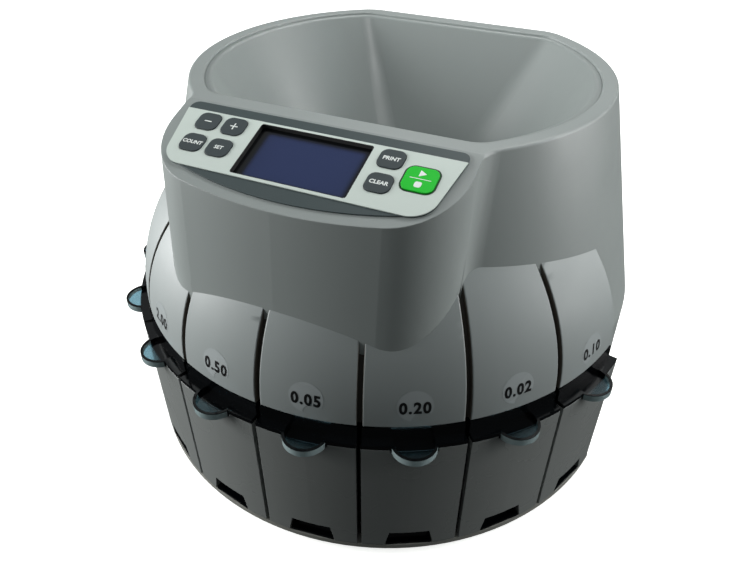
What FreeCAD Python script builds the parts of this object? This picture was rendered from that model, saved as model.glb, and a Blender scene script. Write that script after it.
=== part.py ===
"""Coin sorting machine with eight pull-out coin drawers, a hopper and a sloped control panel.

The frame has its origin on the table under the axis of the feed disc, with +Z up and the front at -Y.
Bay angles are measured from the front towards +X. All sizes are in millimetres and degrees.
"""
import FreeCAD
import Part
import Sketcher
import math
import os
from FreeCAD import Placement, Rotation, Vector

UP = Vector(0, 0, 1)
ACROSS = Vector(1, 0, 0)

SIZES = {
    # Stand and base pan
    "foot_height": 6.0,
    "foot_radius": 11.0,
    "foot_chamfer": 1.5,
    "foot_taper": 2.0,
    "foot_circle": 136.0,
    "pan_inset": 0.2,
    "pan_thickness": 3.4,
    "pan_lip": 1.5,
    # Drawer bays
    "bay_pitch": 20.0,
    "bay_turn": -1.5,
    "divider_thickness": 1.6,
    "divider_height": 80.0,
    "bay_clearance": 0.5,
    # Coin cups
    "cup_back_radius": 90.0,
    "cup_reach": 1.0,
    "cup_height": 88.0,
    "cup_wall": 1.8,
    "cup_lift": 0.4,
    "hood_clearance": 0.6,
    "tab_radius": 12.8,
    "tab_offset": 4.1,
    "tab_thickness": 4.6,
    "dish_wall": 1.5,
    "dish_depth": 2.8,
    "cap_thickness": 2.6,
    "cap_clearance": 0.3,
    "toe_gap": 0.8,
    "toe_inset": 0.8,
    # Drawer fronts
    "front_thickness": 5.6,
    "front_flare": 1.9,
    "front_height": 90.0,
    "front_lift": 0.6,
    "front_gap": 2.6,
    "notch_top": 24.0,
    "notch_base": 29.0,
    "notch_height": 12.0,
    "tab_clearance": 0.6,
    # Hood over the drawers
    "band_height": 8.0,
    "hood_overhang": 1.5,
    "hood_crown": 98.0,
    "hood_rise": 80.0,
    "petal_thickness": 3.0,
    "petal_gap": 2.8,
    "petal_round": 0.9,
    "liner_thickness": 2.0,
    # Upper housing
    "housing_height": 131.5,
    "rim_thickness": 5.0,
    "housing_wall": 3.0,
    "drum_radius": 131.0,
    "drum_flare": 32.5,
    "drum_setback": 18.0,
    "base_setback": 9.0,
    "base_pull": 14.0,
    "back_top_cut": 20.0,
    "back_base_cut": 22.5,
    "back_corner": 25.0,
    "console_low": 40.0,
    "console_reach": 11.8,
    "console_rake": 8.0,
    "console_half_top": 85.5,
    "console_half_low": 87.0,
    "console_bow": 266.0,
    "corner_top": 38.0,
    "corner_low": 40.0,
    "blend_top": 18.0,
    "blend_low": 14.0,
    "rim_round": 1.5,
    # Hopper
    "rim_width": 13.0,
    "rim_front": 15.5,
    "rim_back": 15.0,
    "hopper_corner": 16.0,
    "hopper_round": 2.4,
    "hopper_wall": 2.4,
    "throat_radius": 55.0,
    "throat_height": 18.0,
    "throat_flat": 6.0,
    "throat_corner": 16.0,
    "flange_width": 1.2,
    "flange_thickness": 2.6,
    "flange_drop": 1.4,
    "flange_clearance": 0.2,
    "ledge_round": 1.0,
    # Control panel
    "panel_tilt": 20.0,
    "panel_inset": 31.2,
    "panel_drop": 9.5,
    "plate_thickness": 0.8,
    "overlay_thickness": 0.5,
    "overlay_top": 19.5,
    "overlay_half": 80.0,
    "overlay_foot": 73.2,
    "overlay_base": 19.8,
    "overlay_corner": 13.0,
    "strip_height": 6.2,
    "strip_corner": 4.5,
    "crescent_depth": 9.0,
    "window_width": 64.0,
    "window_height": 35.5,
    "window_sink": 1.2,
    "window_thickness": 1.6,
    "window_clearance": 0.3,
    "window_corner": 1.5,
    "module_margin": 3.0,
    "module_depth": 7.0,
    "board_width": 134.0,
    "board_height": 36.0,
    "board_shift": 2.0,
    "board_thickness": 1.6,
    "key_width": 13.2,
    "key_height": 12.2,
    "key_corner": 4.0,
    "key_proud": 0.5,
    "key_sink": 2.2,
    "key_clearance": 0.3,
    "key_stem_radius": 2.5,
    "key_travel": 0.8,
    "key_spacing": 16.2,
    "left_keys": 54.3,
    "right_keys": 43.8,
    "key_row_height": 3.6,
    "start_offset": 62.1,
    "start_rise": 2.7,
    "start_width": 16.4,
    "start_height": 15.2,
    "switch_size": 6.0,
    "switch_height": 4.0,
    # Sorting deck and feed disc
    "deck_clearance": 2.0,
    "deck_bore_gap": 2.0,
    "deck_thickness": 3.0,
    "deck_rise": 4.0,
    "aperture_inset": 15.0,
    "aperture_length": 30.0,
    "aperture_first": 25.5,
    "aperture_step": 1.1,
    "rail_inset": 4.5,
    "rail_width": 3.0,
    "rail_height": 6.0,
    "sensor_size": 6.0,
    "disc_inset": 16.0,
    "disc_thickness": 2.5,
    "disc_gap": 1.5,
    "cap_radius": 30.0,
    "cap_height": 14.0,
    "post_circle": 76.0,
    "post_radius": 5.0,
    # Drive
    "spindle_radius": 6.0,
    "bearing_radius": 13.0,
    "bearing_width": 8.0,
    "bearing_clearance": 0.15,
    "bearing_stop": 3.0,
    "carrier_radius": 19.0,
    "carrier_flange": 30.0,
    "carrier_flange_height": 4.0,
    "carrier_length": 36.0,
    "pulley_radius": 24.0,
    "pulley_width": 12.0,
    "pulley_flange": 2.0,
    "pulley_gap": 3.0,
    "motor_distance": 60.0,
    "motor_radius": 18.0,
    "motor_length": 42.0,
    "motor_pulley_radius": 9.0,
    "motor_shaft_radius": 3.0,
    "belt_thickness": 1.5,
    "belt_width": 7.0,
    "belt_clearance": 0.3,
    "bracket_thickness": 3.0,
    "bracket_margin": 8.0,
    "collar_height": 8.0,
    # Power and rear connectors
    "cover_margin": 0.6,
    "cover_height": 84.0,
    "cover_rise": 16.0,
    "cover_corner": 5.0,
    "cover_clearance": 0.2,
    "cover_lip": 4.0,
    "cover_flange": 2.0,
    "supply_width": 84.0,
    "supply_depth": 46.0,
    "supply_height": 34.0,
    "supply_edge": 1.0,
    "supply_inset": 52.0,
    "supply_round": 2.0,
    "inlet_width": 27.0,
    "inlet_height": 20.0,
    "inlet_depth": 18.0,
    "inlet_rise": 34.0,
    "inlet_edge": 19.0,
    "inlet_flange": 3.0,
    "pin_spacing": 7.0,
    "pin_width": 2.0,
    "pin_height": 4.5,
    "pin_stagger": 2.0,
    "rocker_width": 11.0,
    "rocker_height": 17.0,
    "rocker_depth": 9.0,
    "rocker_offset": 18.0,
    "rocker_clearance": 0.5,
    "rocker_frame": 1.5,
    "rocker_pivot": 3.0,
    "rocker_proud": 2.2,
    "rocker_bow": 1.4,
    "rocker_tilt": 6.0,
    "port_width": 31.0,
    "port_height": 12.5,
    "port_depth": 11.0,
    "port_offset": 30.0,
    "port_wall": 1.5,
    "vent_count": 6,
    "vent_width": 44.0,
    "vent_height": 3.0,
    "vent_pitch": 6.0,
    "vent_rise": 58.0,
}

KEYS = ("key_minus", "key_plus", "key_count", "key_setup", "key_report", "key_clear", "key_start")
BAY_COUNT = 8


class Size:
    """A size of the sheet, or a sum of such sizes: its value and the expression that gives it."""

    def __init__(self, value, text):
        self.value = float(value)
        self.text = text

    @staticmethod
    def of(item):
        return item if isinstance(item, Size) else Size(item, repr(float(item)))

    def join(self, sign, other, value):
        return Size(value, "(" + self.text + " " + sign + " " + other.text + ")")

    def __add__(self, item):
        other = Size.of(item)
        return self.join("+", other, self.value + other.value)

    def __sub__(self, item):
        other = Size.of(item)
        return self.join("-", other, self.value - other.value)

    def __mul__(self, item):
        other = Size.of(item)
        return self.join("*", other, self.value * other.value)

    def __truediv__(self, item):
        other = Size.of(item)
        return self.join("/", other, self.value / other.value)

    def __neg__(self):
        return Size(-self.value, "(0 - " + self.text + ")")

    def tan(self):
        return Size(math.tan(math.radians(self.value)), "tan(" + self.text + ")")

    def cos(self):
        return Size(math.cos(math.radians(self.value)), "cos(" + self.text + ")")

    def leg(self, item):
        """The other short side of a right triangle with this longest side."""
        other = Size.of(item)
        text = "sqrt(" + self.text + " ^ 2 - " + other.text + " ^ 2)"
        return Size(math.sqrt(self.value ** 2 - other.value ** 2), text)


class SizeTable:
    """The driving sizes, one attribute for each alias of the sheet."""

    def __init__(self, values):
        for alias, value in values.items():
            setattr(self, alias, Size(value, "dims." + alias))


doc = FreeCAD.newDocument("coin_sorting_machine")
S = SizeTable(SIZES)
ZERO = Size(0, "0")
pieces = {}


def fill_sheet():
    sheet = doc.addObject("Spreadsheet::Sheet", "dims")
    for row, (alias, value) in enumerate(SIZES.items(), start=1):
        sheet.set("A" + str(row), alias)
        sheet.set("B" + str(row), str(value))
        sheet.setAlias("B" + str(row), alias)
    doc.recompute()


def bind(item, **sizes):
    for name, size in sizes.items():
        item.setExpression(name, Size.of(size).text)


def place(item, x=ZERO, y=ZERO, z=ZERO):
    for axis, size in (("x", x), ("y", y), ("z", z)):
        item.setExpression("Placement.Base." + axis, Size.of(size).text)
    return item


def piece(label, item):
    item.Label = label
    pieces[label] = item
    return item


def block(name, length, width, height, x, y, z):
    item = doc.addObject("Part::Box", name)
    bind(item, Length=length, Width=width, Height=height)
    return place(item, x, y, z)


def centred_block(name, length, width, height, x, y, z):
    length = Size.of(length)
    width = Size.of(width)
    return block(name, length, width, height, Size.of(x) - length / 2, Size.of(y) - width / 2, z)


def rod(name, radius, height, x=ZERO, y=ZERO, z=ZERO):
    item = doc.addObject("Part::Cylinder", name)
    bind(item, Radius=radius, Height=height)
    return place(item, x, y, z)


def fuse(name, *items):
    item = doc.addObject("Part::MultiFuse", name)
    item.Shapes = list(items)
    return item


def cut(name, base, *tools):
    item = doc.addObject("Part::Cut", name)
    item.Base = base
    item.Tool = tools[0] if len(tools) == 1 else fuse(name + "_tools", *tools)
    return item


def common(name, *items):
    item = doc.addObject("Part::MultiCommon", name)
    item.Shapes = list(items)
    return item


def group(name, *items):
    item = doc.addObject("Part::Compound", name)
    item.Links = list(items)
    return item


def copy_at(name, master, placement):
    item = group(name, master)
    item.Placement = placement
    return item


def rounded(name, base, radius, pick):
    """Round the edges of base that pick accepts."""
    doc.recompute()
    item = doc.addObject("Part::Fillet", name)
    item.Base = base
    size = Size.of(radius).value
    edges = enumerate(base.Shape.Edges, start=1)
    item.Edges = [(number, size, size) for number, edge in edges if pick(edge)]
    return item


def upright(edge):
    ends = [vertex.Point for vertex in edge.Vertexes]
    run = ends[-1].sub(ends[0])
    return len(ends) == 2 and math.hypot(run.x, run.y) < 1e-6


def fore_and_aft(edge):
    ends = [vertex.Point for vertex in edge.Vertexes]
    run = ends[-1].sub(ends[0])
    return len(ends) == 2 and math.hypot(run.x, run.z) < 1e-6


def formed(name, shape):
    item = doc.addObject("Part::Feature", name)
    item.Shape = shape
    return item


def tie_corner(sketch, index, size, kind, axis):
    """Hold the start of one side at its distance from the sketch's axis."""
    if size.value == 0:
        sketch.addConstraint(Sketcher.Constraint("PointOnObject", index, 1, axis))
        return
    rule = sketch.addConstraint(Sketcher.Constraint(kind, -1, 1, index, 1, size.value))
    sketch.setExpression("Constraints[" + str(rule) + "]", size.text)


def polygon_sketch(body, role, name, points):
    """A closed sketch on one of the body's origin planes, with every corner tied to the sheet."""
    sketch = body.newObject("Sketcher::SketchObject", name)
    plane = [item for item in body.Origin.OriginFeatures if item.Role == role][0]
    sketch.AttachmentSupport = (plane, "")
    sketch.MapMode = "FlatFace"
    corners = [(Size.of(x), Size.of(y)) for x, y in points]
    spots = [Vector(x.value, y.value, 0) for x, y in corners]
    count = len(spots)
    for index in range(count):
        sketch.addGeometry(Part.LineSegment(spots[index], spots[(index + 1) % count]))
    for index in range(count):
        sketch.addConstraint(Sketcher.Constraint("Coincident", index, 2, (index + 1) % count, 1))
    for index, (x, y) in enumerate(corners):
        tie_corner(sketch, index, x, "DistanceX", -2)
        tie_corner(sketch, index, y, "DistanceY", -1)
    return sketch


def turned(name, points):
    """A body turned about its own Z axis from a profile of (radius, height) corners."""
    body = doc.addObject("PartDesign::Body", name)
    sketch = polygon_sketch(body, "XZ_Plane", name + "_profile", points)
    spin = body.newObject("PartDesign::Revolution", name + "_turn")
    spin.Profile = sketch
    spin.ReferenceAxis = (sketch, ["V_Axis"])
    spin.Angle = 360
    return body


def padded(name, points, length, role="XY_Plane"):
    """A body padded from an outline on one of its origin planes."""
    body = doc.addObject("PartDesign::Body", name)
    sketch = polygon_sketch(body, role, name + "_outline", points)
    pad = body.newObject("PartDesign::Pad", name + "_pad")
    pad.Profile = sketch
    bind(pad, Length=length)
    return body


def mirrored_points(points):
    """The outline of points on the +Y side, closed by their mirror images."""
    return list(points) + [(x, -Size.of(y)) for x, y in reversed(points)]


# Distances from the axis
DRUM_BASE = S.drum_radius + S.drum_flare
CUP_FACE = DRUM_BASE + S.cup_reach
TAB_CENTRE = CUP_FACE + S.tab_offset
FRONT_FOOT = CUP_FACE + S.front_thickness
FRONT_CREST = FRONT_FOOT + S.front_flare
PAN_RADIUS = FRONT_FOOT - S.pan_inset
HOOD_RADIUS = CUP_FACE + S.hood_overhang
DECK_RADIUS = DRUM_BASE - S.base_pull - S.base_setback - S.housing_wall - S.deck_clearance
RAIL_RADIUS = DECK_RADIUS - S.rail_inset
APERTURE_CIRCLE = RAIL_RADIUS - S.aperture_inset
DISC_RADIUS = APERTURE_CIRCLE - S.disc_inset

# Front and back of the housing, console and hopper
CONSOLE_TOP = S.drum_radius + S.console_reach
CONSOLE_FOOT = CONSOLE_TOP + S.console_rake
PANEL_FORWARD = CONSOLE_TOP - S.panel_inset
CREST = PANEL_FORWARD - S.panel_drop / S.panel_tilt.tan()
BACK_TOP = S.drum_setback + S.drum_radius - S.back_top_cut
BACK_BASE = S.base_setback + DRUM_BASE - S.back_base_cut
HOPPER_RADIUS = S.drum_radius - S.rim_width
HOPPER_FRONT = CREST - S.rim_front
HOPPER_BACK = BACK_TOP - S.rim_back

# Service cover, as wide as the flat of the back allows, and what is fitted in and behind it
BACK_FLAT = (DRUM_BASE - S.back_corner).leg(BACK_BASE - S.back_corner - S.base_setback)
COVER_HALF = BACK_FLAT - S.cover_lip - S.cover_margin
INLET_OFFSET = COVER_HALF - S.inlet_edge
SUPPLY_OFFSET = COVER_HALF - S.supply_edge
SUPPLY_MIDDLE = BACK_BASE - S.supply_inset

# Levels above the table
PAN_TOP = S.foot_height + S.pan_thickness
FRONT_BASE = PAN_TOP + S.front_lift
FRONT_TOP = FRONT_BASE + S.front_height
HOOD = FRONT_TOP + S.band_height
DECK = HOOD + S.deck_rise
DECK_TOP = DECK + S.deck_thickness
DISC = DECK_TOP + S.disc_gap
RIM = HOOD + S.housing_height
CARRIER = DECK - S.carrier_length
PULLEY = CARRIER - S.pulley_gap - S.pulley_width
COVER_HEIGHT = HOOD - PAN_TOP
FAR = 400.0

PANEL = Placement(Vector(0, -PANEL_FORWARD.value, (RIM - S.panel_drop).value),
                  Rotation(ACROSS, S.panel_tilt.value))


def on_panel(item, u=0.0, v=0.0, w=0.0):
    """Set an item at its place across, up and out of the sloped control panel."""
    item.Placement = PANEL.multiply(Placement(Vector(u, v, w), Rotation()))
    return item


def bay_angle(bay):
    """Angle from the front of a bay's middle, or of the groove beside it for a half number."""
    return (bay - (BAY_COUNT - 1) / 2) * S.bay_pitch.value + S.bay_turn.value


def facing(angle):
    """The placement that turns +X to the direction of a bay."""
    return Placement(Vector(), Rotation(UP, angle - 90))


def bay_side(radius, clearance):
    """Half the width of a bay at a distance from the axis, less a clearance square to its side."""
    half_pitch = S.bay_pitch / 2
    return Size.of(radius) * half_pitch.tan() - Size.of(clearance) / half_pitch.cos()


def build_base():
    """Floor pan that follows the drawers and the rear housing, bay dividers and rubber feet."""
    floor = S.foot_height.value
    thick = S.pan_thickness.value
    disc = Part.makeCylinder(PAN_RADIUS.value, thick, Vector(0, 0, floor)).common(bay_room())
    rear = Part.Face(closed_wire(plain_outline(-S.pan_lip.value, HOOD.value))).extrude(Vector(0, 0, thick))
    rear.translate(Vector(0, 0, floor - HOOD.value))
    piece("base_pan", formed("base_pan", disc.fuse(rear).removeSplitter()))

    reach = CUP_FACE - S.cup_wall - S.cup_back_radius
    plate = block("divider_plate", reach, S.divider_thickness, S.divider_height,
                  S.cup_back_radius, -S.divider_thickness / 2, PAN_TOP)
    plates = [copy_at("divider_" + str(side), plate, facing(bay_angle(side - 0.5)))
              for side in range(BAY_COUNT + 1)]
    piece("bay_dividers", group("bay_dividers", *plates))

    foot = turned("foot", [(0, 0), (S.foot_radius - S.foot_chamfer, 0), (S.foot_radius, S.foot_chamfer),
                           (S.foot_radius - S.foot_taper, S.foot_height), (0, S.foot_height)])
    feet = []
    for corner in range(4):
        turn = Rotation(UP, 45 + 90 * corner)
        spot = turn.multVec(Vector(S.foot_circle.value, 0, 0))
        feet.append(copy_at("foot_" + str(corner), foot, Placement(spot, Rotation())))
    piece("rubber_feet", group("rubber_feet", *feet))


def build_drawers():
    """Coin cups with a raised front wall, a capping flange and a half-moon tab, and the fronts under it."""
    gap = S.divider_thickness / 2 + S.bay_clearance
    inner_gap = gap + S.cup_wall
    outline = mirrored_points([(S.cup_back_radius, -bay_side(S.cup_back_radius, gap)),
                               (CUP_FACE, -bay_side(CUP_FACE, gap))])
    back = S.cup_back_radius + S.cup_wall
    face = CUP_FACE - S.cup_wall
    hollow = mirrored_points([(back, -bay_side(back, inner_gap)), (face, -bay_side(face, inner_gap))])
    base = PAN_TOP + S.cup_lift
    tray = cut("cup_tray", place(padded("cup_block", outline, S.cup_height), z=base),
               place(padded("cup_hollow", hollow, S.cup_height), z=base + S.cup_wall))
    raised = mirrored_points([(face, -bay_side(face, gap)), (CUP_FACE, -bay_side(CUP_FACE, gap))])
    screen = place(padded("cup_screen", raised, HOOD - S.hood_clearance - base), z=base)

    edge = S.front_gap / 2
    rim = FRONT_CREST + S.front_gap
    wedge = mirrored_points([(CUP_FACE, -bay_side(CUP_FACE, edge)), (rim, -bay_side(rim, edge))])
    cone = doc.addObject("Part::Cone", "front_cone")
    bind(cone, Radius1=FRONT_FOOT, Radius2=FRONT_CREST, Height=S.front_height)
    place(cone, z=FRONT_BASE)
    ledge = place(padded("cap_wedge", wedge, S.cap_thickness), z=FRONT_TOP - S.cap_thickness)
    moon_base = FRONT_TOP - S.tab_thickness
    tab = rod("tab_disc", S.tab_radius, S.tab_thickness, TAB_CENTRE, ZERO, moon_base)
    inside = block("tab_inside", FAR, FAR, FAR, CUP_FACE - S.cup_wall / 2 - FAR, -FAR / 2, ZERO)
    behind = block("dish_behind", FAR, FAR, FAR, CUP_FACE - FAR, -FAR / 2, ZERO)
    dish = rod("tab_dish", S.tab_radius - S.dish_wall, S.tab_thickness, TAB_CENTRE, ZERO,
               FRONT_TOP - S.dish_depth)
    toe_start = CUP_FACE - S.cup_wall / 2
    toe = centred_block("cup_toe", FRONT_FOOT - S.toe_inset - toe_start, S.notch_base - S.toe_gap * 2,
                        S.cup_wall, (FRONT_FOOT - S.toe_inset + toe_start) / 2, 0, base)
    solid = fuse("cup_with_tab", tray, screen, common("cup_cap", ledge, cone), cut("tab_moon", tab, inside), toe)
    cup = cut("cup_master", solid, cut("dish_moon", dish, behind))

    slab = place(padded("front_slab", wedge, S.front_height - S.cap_thickness - S.cap_clearance), z=FRONT_BASE)
    tab_room = rod("tab_room", S.tab_radius + S.tab_clearance, FAR, TAB_CENTRE, ZERO,
                   moon_base - S.tab_clearance)
    low = S.notch_base / 2
    high = S.notch_top / 2
    notch = padded("front_notch", [(-low, 0), (low, 0), (high, S.notch_height), (-high, S.notch_height)],
                   FAR, "YZ_Plane")
    place(notch, x=CUP_FACE, z=FRONT_BASE)
    front = cut("front_master", common("front_curve", slab, cone), tab_room, notch)

    for bay in range(BAY_COUNT):
        number = str(bay + 1)
        turn = facing(bay_angle(bay))
        piece("coin_cup_" + number, copy_at("coin_cup_" + number, cup, turn))
        piece("drawer_front_" + number, copy_at("drawer_front_" + number, front, turn))


def arc_between(centre, radius, start, end):
    """The arc about a centre from one point to another, by the shorter way."""
    middle = start.add(end).multiply(0.5).sub(centre)
    middle.normalize()
    return Part.Arc(start, centre.add(middle.multiply(radius)), end).toShape()


def towards(origin, target, distance):
    """The point at a distance from origin in the direction of target."""
    step = target.sub(origin)
    step.normalize()
    return origin.add(step.multiply(distance))


def mirror_x(edge):
    return edge.mirror(Vector(), ACROSS)


def closed_wire(half_edges):
    """The closed outline whose +X side is given, from the front to the back."""
    edges = list(half_edges) + [mirror_x(edge) for edge in reversed(half_edges)]
    return Part.Wire(edges)


def down_from_rim(level):
    """Share of the way from the rim down to the hood's lower edge."""
    return (RIM.value - level) / S.housing_height.value


def taper(top_size, base_size, level):
    """A size of the housing at a level, between its values at the rim and at the hood's lower edge."""
    return top_size.value + (base_size.value - top_size.value) * down_from_rim(level)


def drum_axis(level):
    return Vector(0, taper(S.drum_setback, S.base_setback, level), level)


def back_edges(inset, level):
    """Rear half of the housing's plan: the drum from its widest point, a rounded corner, a flat back."""
    axis = drum_axis(level)
    drum = taper(S.drum_radius, DRUM_BASE, level) - inset
    back = taper(BACK_TOP, BACK_BASE, level) - inset
    corner = S.back_corner.value - inset
    corner_y = back - corner
    corner_x = math.sqrt((drum - corner) ** 2 - (corner_y - axis.y) ** 2)
    corner_centre = Vector(corner_x, corner_y, level)
    side = Vector(drum, axis.y, level)
    drum_end = towards(axis, corner_centre, drum)
    flat_start = Vector(corner_x, back, level)
    return [arc_between(axis, drum, side, drum_end),
            arc_between(corner_centre, corner, drum_end, flat_start),
            Part.LineSegment(flat_start, Vector(0, back, level)).toShape()]


def front_drum(inset, level):
    """Centre and radius of the drum's front quarter, which closes in a little faster lower down."""
    pull = S.base_pull.value * down_from_rim(level)
    axis = drum_axis(level)
    radius = taper(S.drum_radius, DRUM_BASE, level) - inset - pull
    return axis.add(Vector(pull, 0, 0)), radius


def console_share(top_size, low_size, level):
    """A size of the console at a level, between its values at the rim and at its foot."""
    span = S.housing_height.value - S.console_low.value
    return top_size.value + (low_size.value - top_size.value) * (RIM.value - level) / span


def console_outline(inset, level):
    """The housing's plan with the console: bowed front, round corner, hollow blend, drum and back."""
    front = console_share(CONSOLE_TOP, CONSOLE_FOOT, level) - inset
    half = console_share(S.console_half_top, S.console_half_low, level) - inset
    corner = console_share(S.corner_top, S.corner_low, level) - inset
    blend = console_share(S.blend_top, S.blend_low, level) + inset
    bow = S.console_bow.value
    bow_centre = Vector(0, bow - front, level)
    corner_x = half - corner
    corner_y = bow_centre.y - math.sqrt((bow - corner) ** 2 - corner_x ** 2)
    corner_centre = Vector(corner_x, corner_y, level)
    centre, drum = front_drum(inset, level)
    blend_x = half + blend
    blend_y = centre.y - math.sqrt((drum + blend) ** 2 - (blend_x - centre.x) ** 2)
    blend_centre = Vector(blend_x, blend_y, level)
    nose = Vector(0, -front, level)
    bow_end = towards(bow_centre, corner_centre, bow)
    side_start = Vector(half, corner_y, level)
    side_end = Vector(half, blend_y, level)
    drum_start = towards(centre, blend_centre, drum)
    side = centre.add(Vector(drum, 0, 0))
    return [arc_between(bow_centre, bow, nose, bow_end),
            arc_between(corner_centre, corner, bow_end, side_start),
            Part.LineSegment(side_start, side_end).toShape(),
            arc_between(blend_centre, blend, side_end, drum_start),
            arc_between(centre, drum, drum_start, side)] + back_edges(inset, level)


def plain_outline(inset, level):
    """The housing's plan below the console: the round drum and the flat back."""
    centre, drum = front_drum(inset, level)
    nose = Vector(0, centre.y - math.sqrt(drum ** 2 - centre.x ** 2), level)
    side = centre.add(Vector(drum, 0, 0))
    return [arc_between(centre, drum, nose, side)] + back_edges(inset, level)


def lofted(outlines):
    return Part.makeLoft([closed_wire(outline) for outline in outlines], True, True)


def housing_body(inset, top):
    """The housing with all walls drawn in by inset: console and drum, the flare below, the rear skirt."""
    low = (HOOD + S.console_low).value
    hood = HOOD.value
    upper = lofted([console_outline(inset, top), console_outline(inset, low)])
    flare = lofted([plain_outline(inset, low), plain_outline(inset, hood)])
    skirt = slab_between(plain_outline(inset, hood), COVER_HEIGHT.value)
    return upper.fuse([flare, skirt])


def bay_room():
    """All the room in front of the two outer bay dividers, the dividers and their clearance included."""
    half = math.radians(S.bay_pitch.value * BAY_COUNT / 2)
    edge = S.divider_thickness.value / 2 + S.bay_clearance.value
    apex = Vector(0, edge / math.sin(half), 0)
    reach = Vector(FAR * math.sin(half), -FAR * math.cos(half), 0)
    right = apex.add(reach)
    left = Vector(-right.x, right.y, 0)
    ends = [Vector(right.x, -FAR, 0), Vector(left.x, -FAR, 0)]
    room = Part.Face(Part.makePolygon([apex, right] + ends + [left, apex])).extrude(Vector(0, 0, HOOD.value))
    room.rotate(Vector(), UP, S.bay_turn.value)
    return room


def above_panel(depth):
    """Everything above the control panel's plane, lowered by depth."""
    room = Part.makeBox(FAR, FAR, FAR, Vector(-FAR / 2, -FAR, 0))
    crest = S.panel_drop.value / math.sin(math.radians(S.panel_tilt.value))
    room.translate(Vector(0, crest, -depth))
    room.Placement = PANEL.multiply(room.Placement)
    return room


def lies_on(edge, wire):
    """Whether the middle and both ends of an edge lie on a wire."""
    middle = edge.valueAt((edge.FirstParameter + edge.LastParameter) / 2)
    points = [middle] + [vertex.Point for vertex in edge.Vertexes]
    return all(wire.distToShape(Part.Vertex(point))[0] < 1e-3 for point in points)


def rim_rounded(housing):
    """Round the rim's outer edge, but not the crest where the control panel starts."""
    level = RIM.value

    def on_rim(edge):
        height = max(abs(vertex.Z - level) for vertex in edge.Vertexes)
        return height < 1e-4 and edge.CenterOfMass.y > 1e-4 - CREST.value

    return housing.makeFillet(S.rim_round.value, [edge for edge in housing.Edges if on_rim(edge)])


def hopper_outline(grow, height):
    """Rim of the hopper: round ends that turn by a tight corner into a flat front and a flat back."""
    radius = HOPPER_RADIUS.value + grow
    corner = S.hopper_corner.value + grow
    axis = Vector(0, S.drum_setback.value, height)
    side = Vector(radius, axis.y, height)

    def end(sign, flat):
        """Straight half of one end, its corner and the round side beyond it."""
        centre_y = sign * (flat - corner)
        centre_x = math.sqrt((radius - corner) ** 2 - (centre_y - axis.y) ** 2)
        centre = Vector(centre_x, centre_y, height)
        start = Vector(centre_x, sign * flat, height)
        turn = towards(axis, centre, radius)
        return [Part.LineSegment(Vector(0, sign * flat, height), start).toShape(),
                arc_between(centre, corner, start, turn), arc_between(axis, radius, turn, side)]

    return end(-1, HOPPER_FRONT.value + grow) + list(reversed(end(1, HOPPER_BACK.value + grow)))


def throat_outline(grow, height):
    """Round mouth at the foot of the hopper, split where the flats and corners come down to it."""
    radius = S.throat_radius.value + grow
    flat = S.throat_flat.value
    corner = flat + S.throat_corner.value

    def at(angle):
        turn = math.radians(angle)
        return Vector(radius * math.sin(turn), -radius * math.cos(turn), height)

    stops = [0, flat, corner, 90, 180 - corner, 180 - flat, 180]
    return [arc_between(Vector(0, 0, height), radius, at(start), at(end)) for start, end in zip(stops, stops[1:])]


def slab_between(outline, depth):
    return Part.Face(closed_wire(outline)).extrude(Vector(0, 0, -depth))


def hood_ring(outer_inset, thickness, start, sweep):
    """A stretch of the domed hood, from its lower edge up to where the housing stands on it."""
    centre = Vector(HOOD_RADIUS.value - S.hood_crown.value, 0, HOOD.value)
    outer = S.hood_crown.value - outer_inset
    inner = outer - thickness
    top = math.asin(S.hood_rise.value / S.hood_crown.value)

    def at(radius, angle):
        return centre.add(Vector(radius * math.cos(angle), 0, radius * math.sin(angle)))

    profile = [Part.Arc(at(outer, 0), at(outer, top / 2), at(outer, top)).toShape(),
               Part.LineSegment(at(outer, top), at(inner, top)).toShape(),
               Part.Arc(at(inner, top), at(inner, top / 2), at(inner, 0)).toShape(),
               Part.LineSegment(at(inner, 0), at(outer, 0)).toShape()]
    face = Part.Face(Part.Wire(profile))
    ring = face.revolve(Vector(), UP, sweep)
    ring.Placement = facing(start)
    return ring


def petal_rounded(petal):
    """Round a petal's two long outer edges and its foot."""
    ring_radius = HOOD_RADIUS.value - S.hood_crown.value
    crown = HOOD.value + S.hood_rise.value

    def outer(point):
        reach = math.hypot(point.x, point.y) - ring_radius
        return abs(math.hypot(reach, point.z - HOOD.value) - S.hood_crown.value) < 1e-3

    def wanted(edge):
        spots = [vertex.Point for vertex in edge.Vertexes]
        return all(outer(spot) for spot in spots) and any(spot.z < crown - 1e-3 for spot in spots)

    return petal.makeFillet(S.petal_round.value, [edge for edge in petal.Edges if wanted(edge)])


def build_hood(housing):
    """A petal over each bay, on a dark liner that shows in the grooves between them."""
    first = bay_angle(-0.5)
    sweep = BAY_COUNT * S.bay_pitch.value
    ring = hood_ring(0, S.petal_thickness.value, first, sweep)
    gaps = []
    for groove in range(BAY_COUNT + 1):
        slot = Part.makeBox(FAR, S.petal_gap.value, FAR, Vector(0, -S.petal_gap.value / 2, 0))
        slot.Placement = facing(first + groove * S.bay_pitch.value)
        gaps.append(slot)
    shaped = [petal_rounded(petal).cut(housing).Solids for petal in ring.cut(gaps).Solids]
    petals = [max(solids, key=lambda solid: solid.Volume) for solids in shaped]
    piece("petal_panels", formed("petal_panels", Part.makeCompound(petals)))
    spare = math.degrees(S.petal_gap.value / HOOD_RADIUS.value)
    liner = hood_ring(S.petal_thickness.value, S.liner_thickness.value, first - spare, sweep + 2 * spare)
    piece("hood_liner", formed("hood_liner", liner.cut(housing)))


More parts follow.
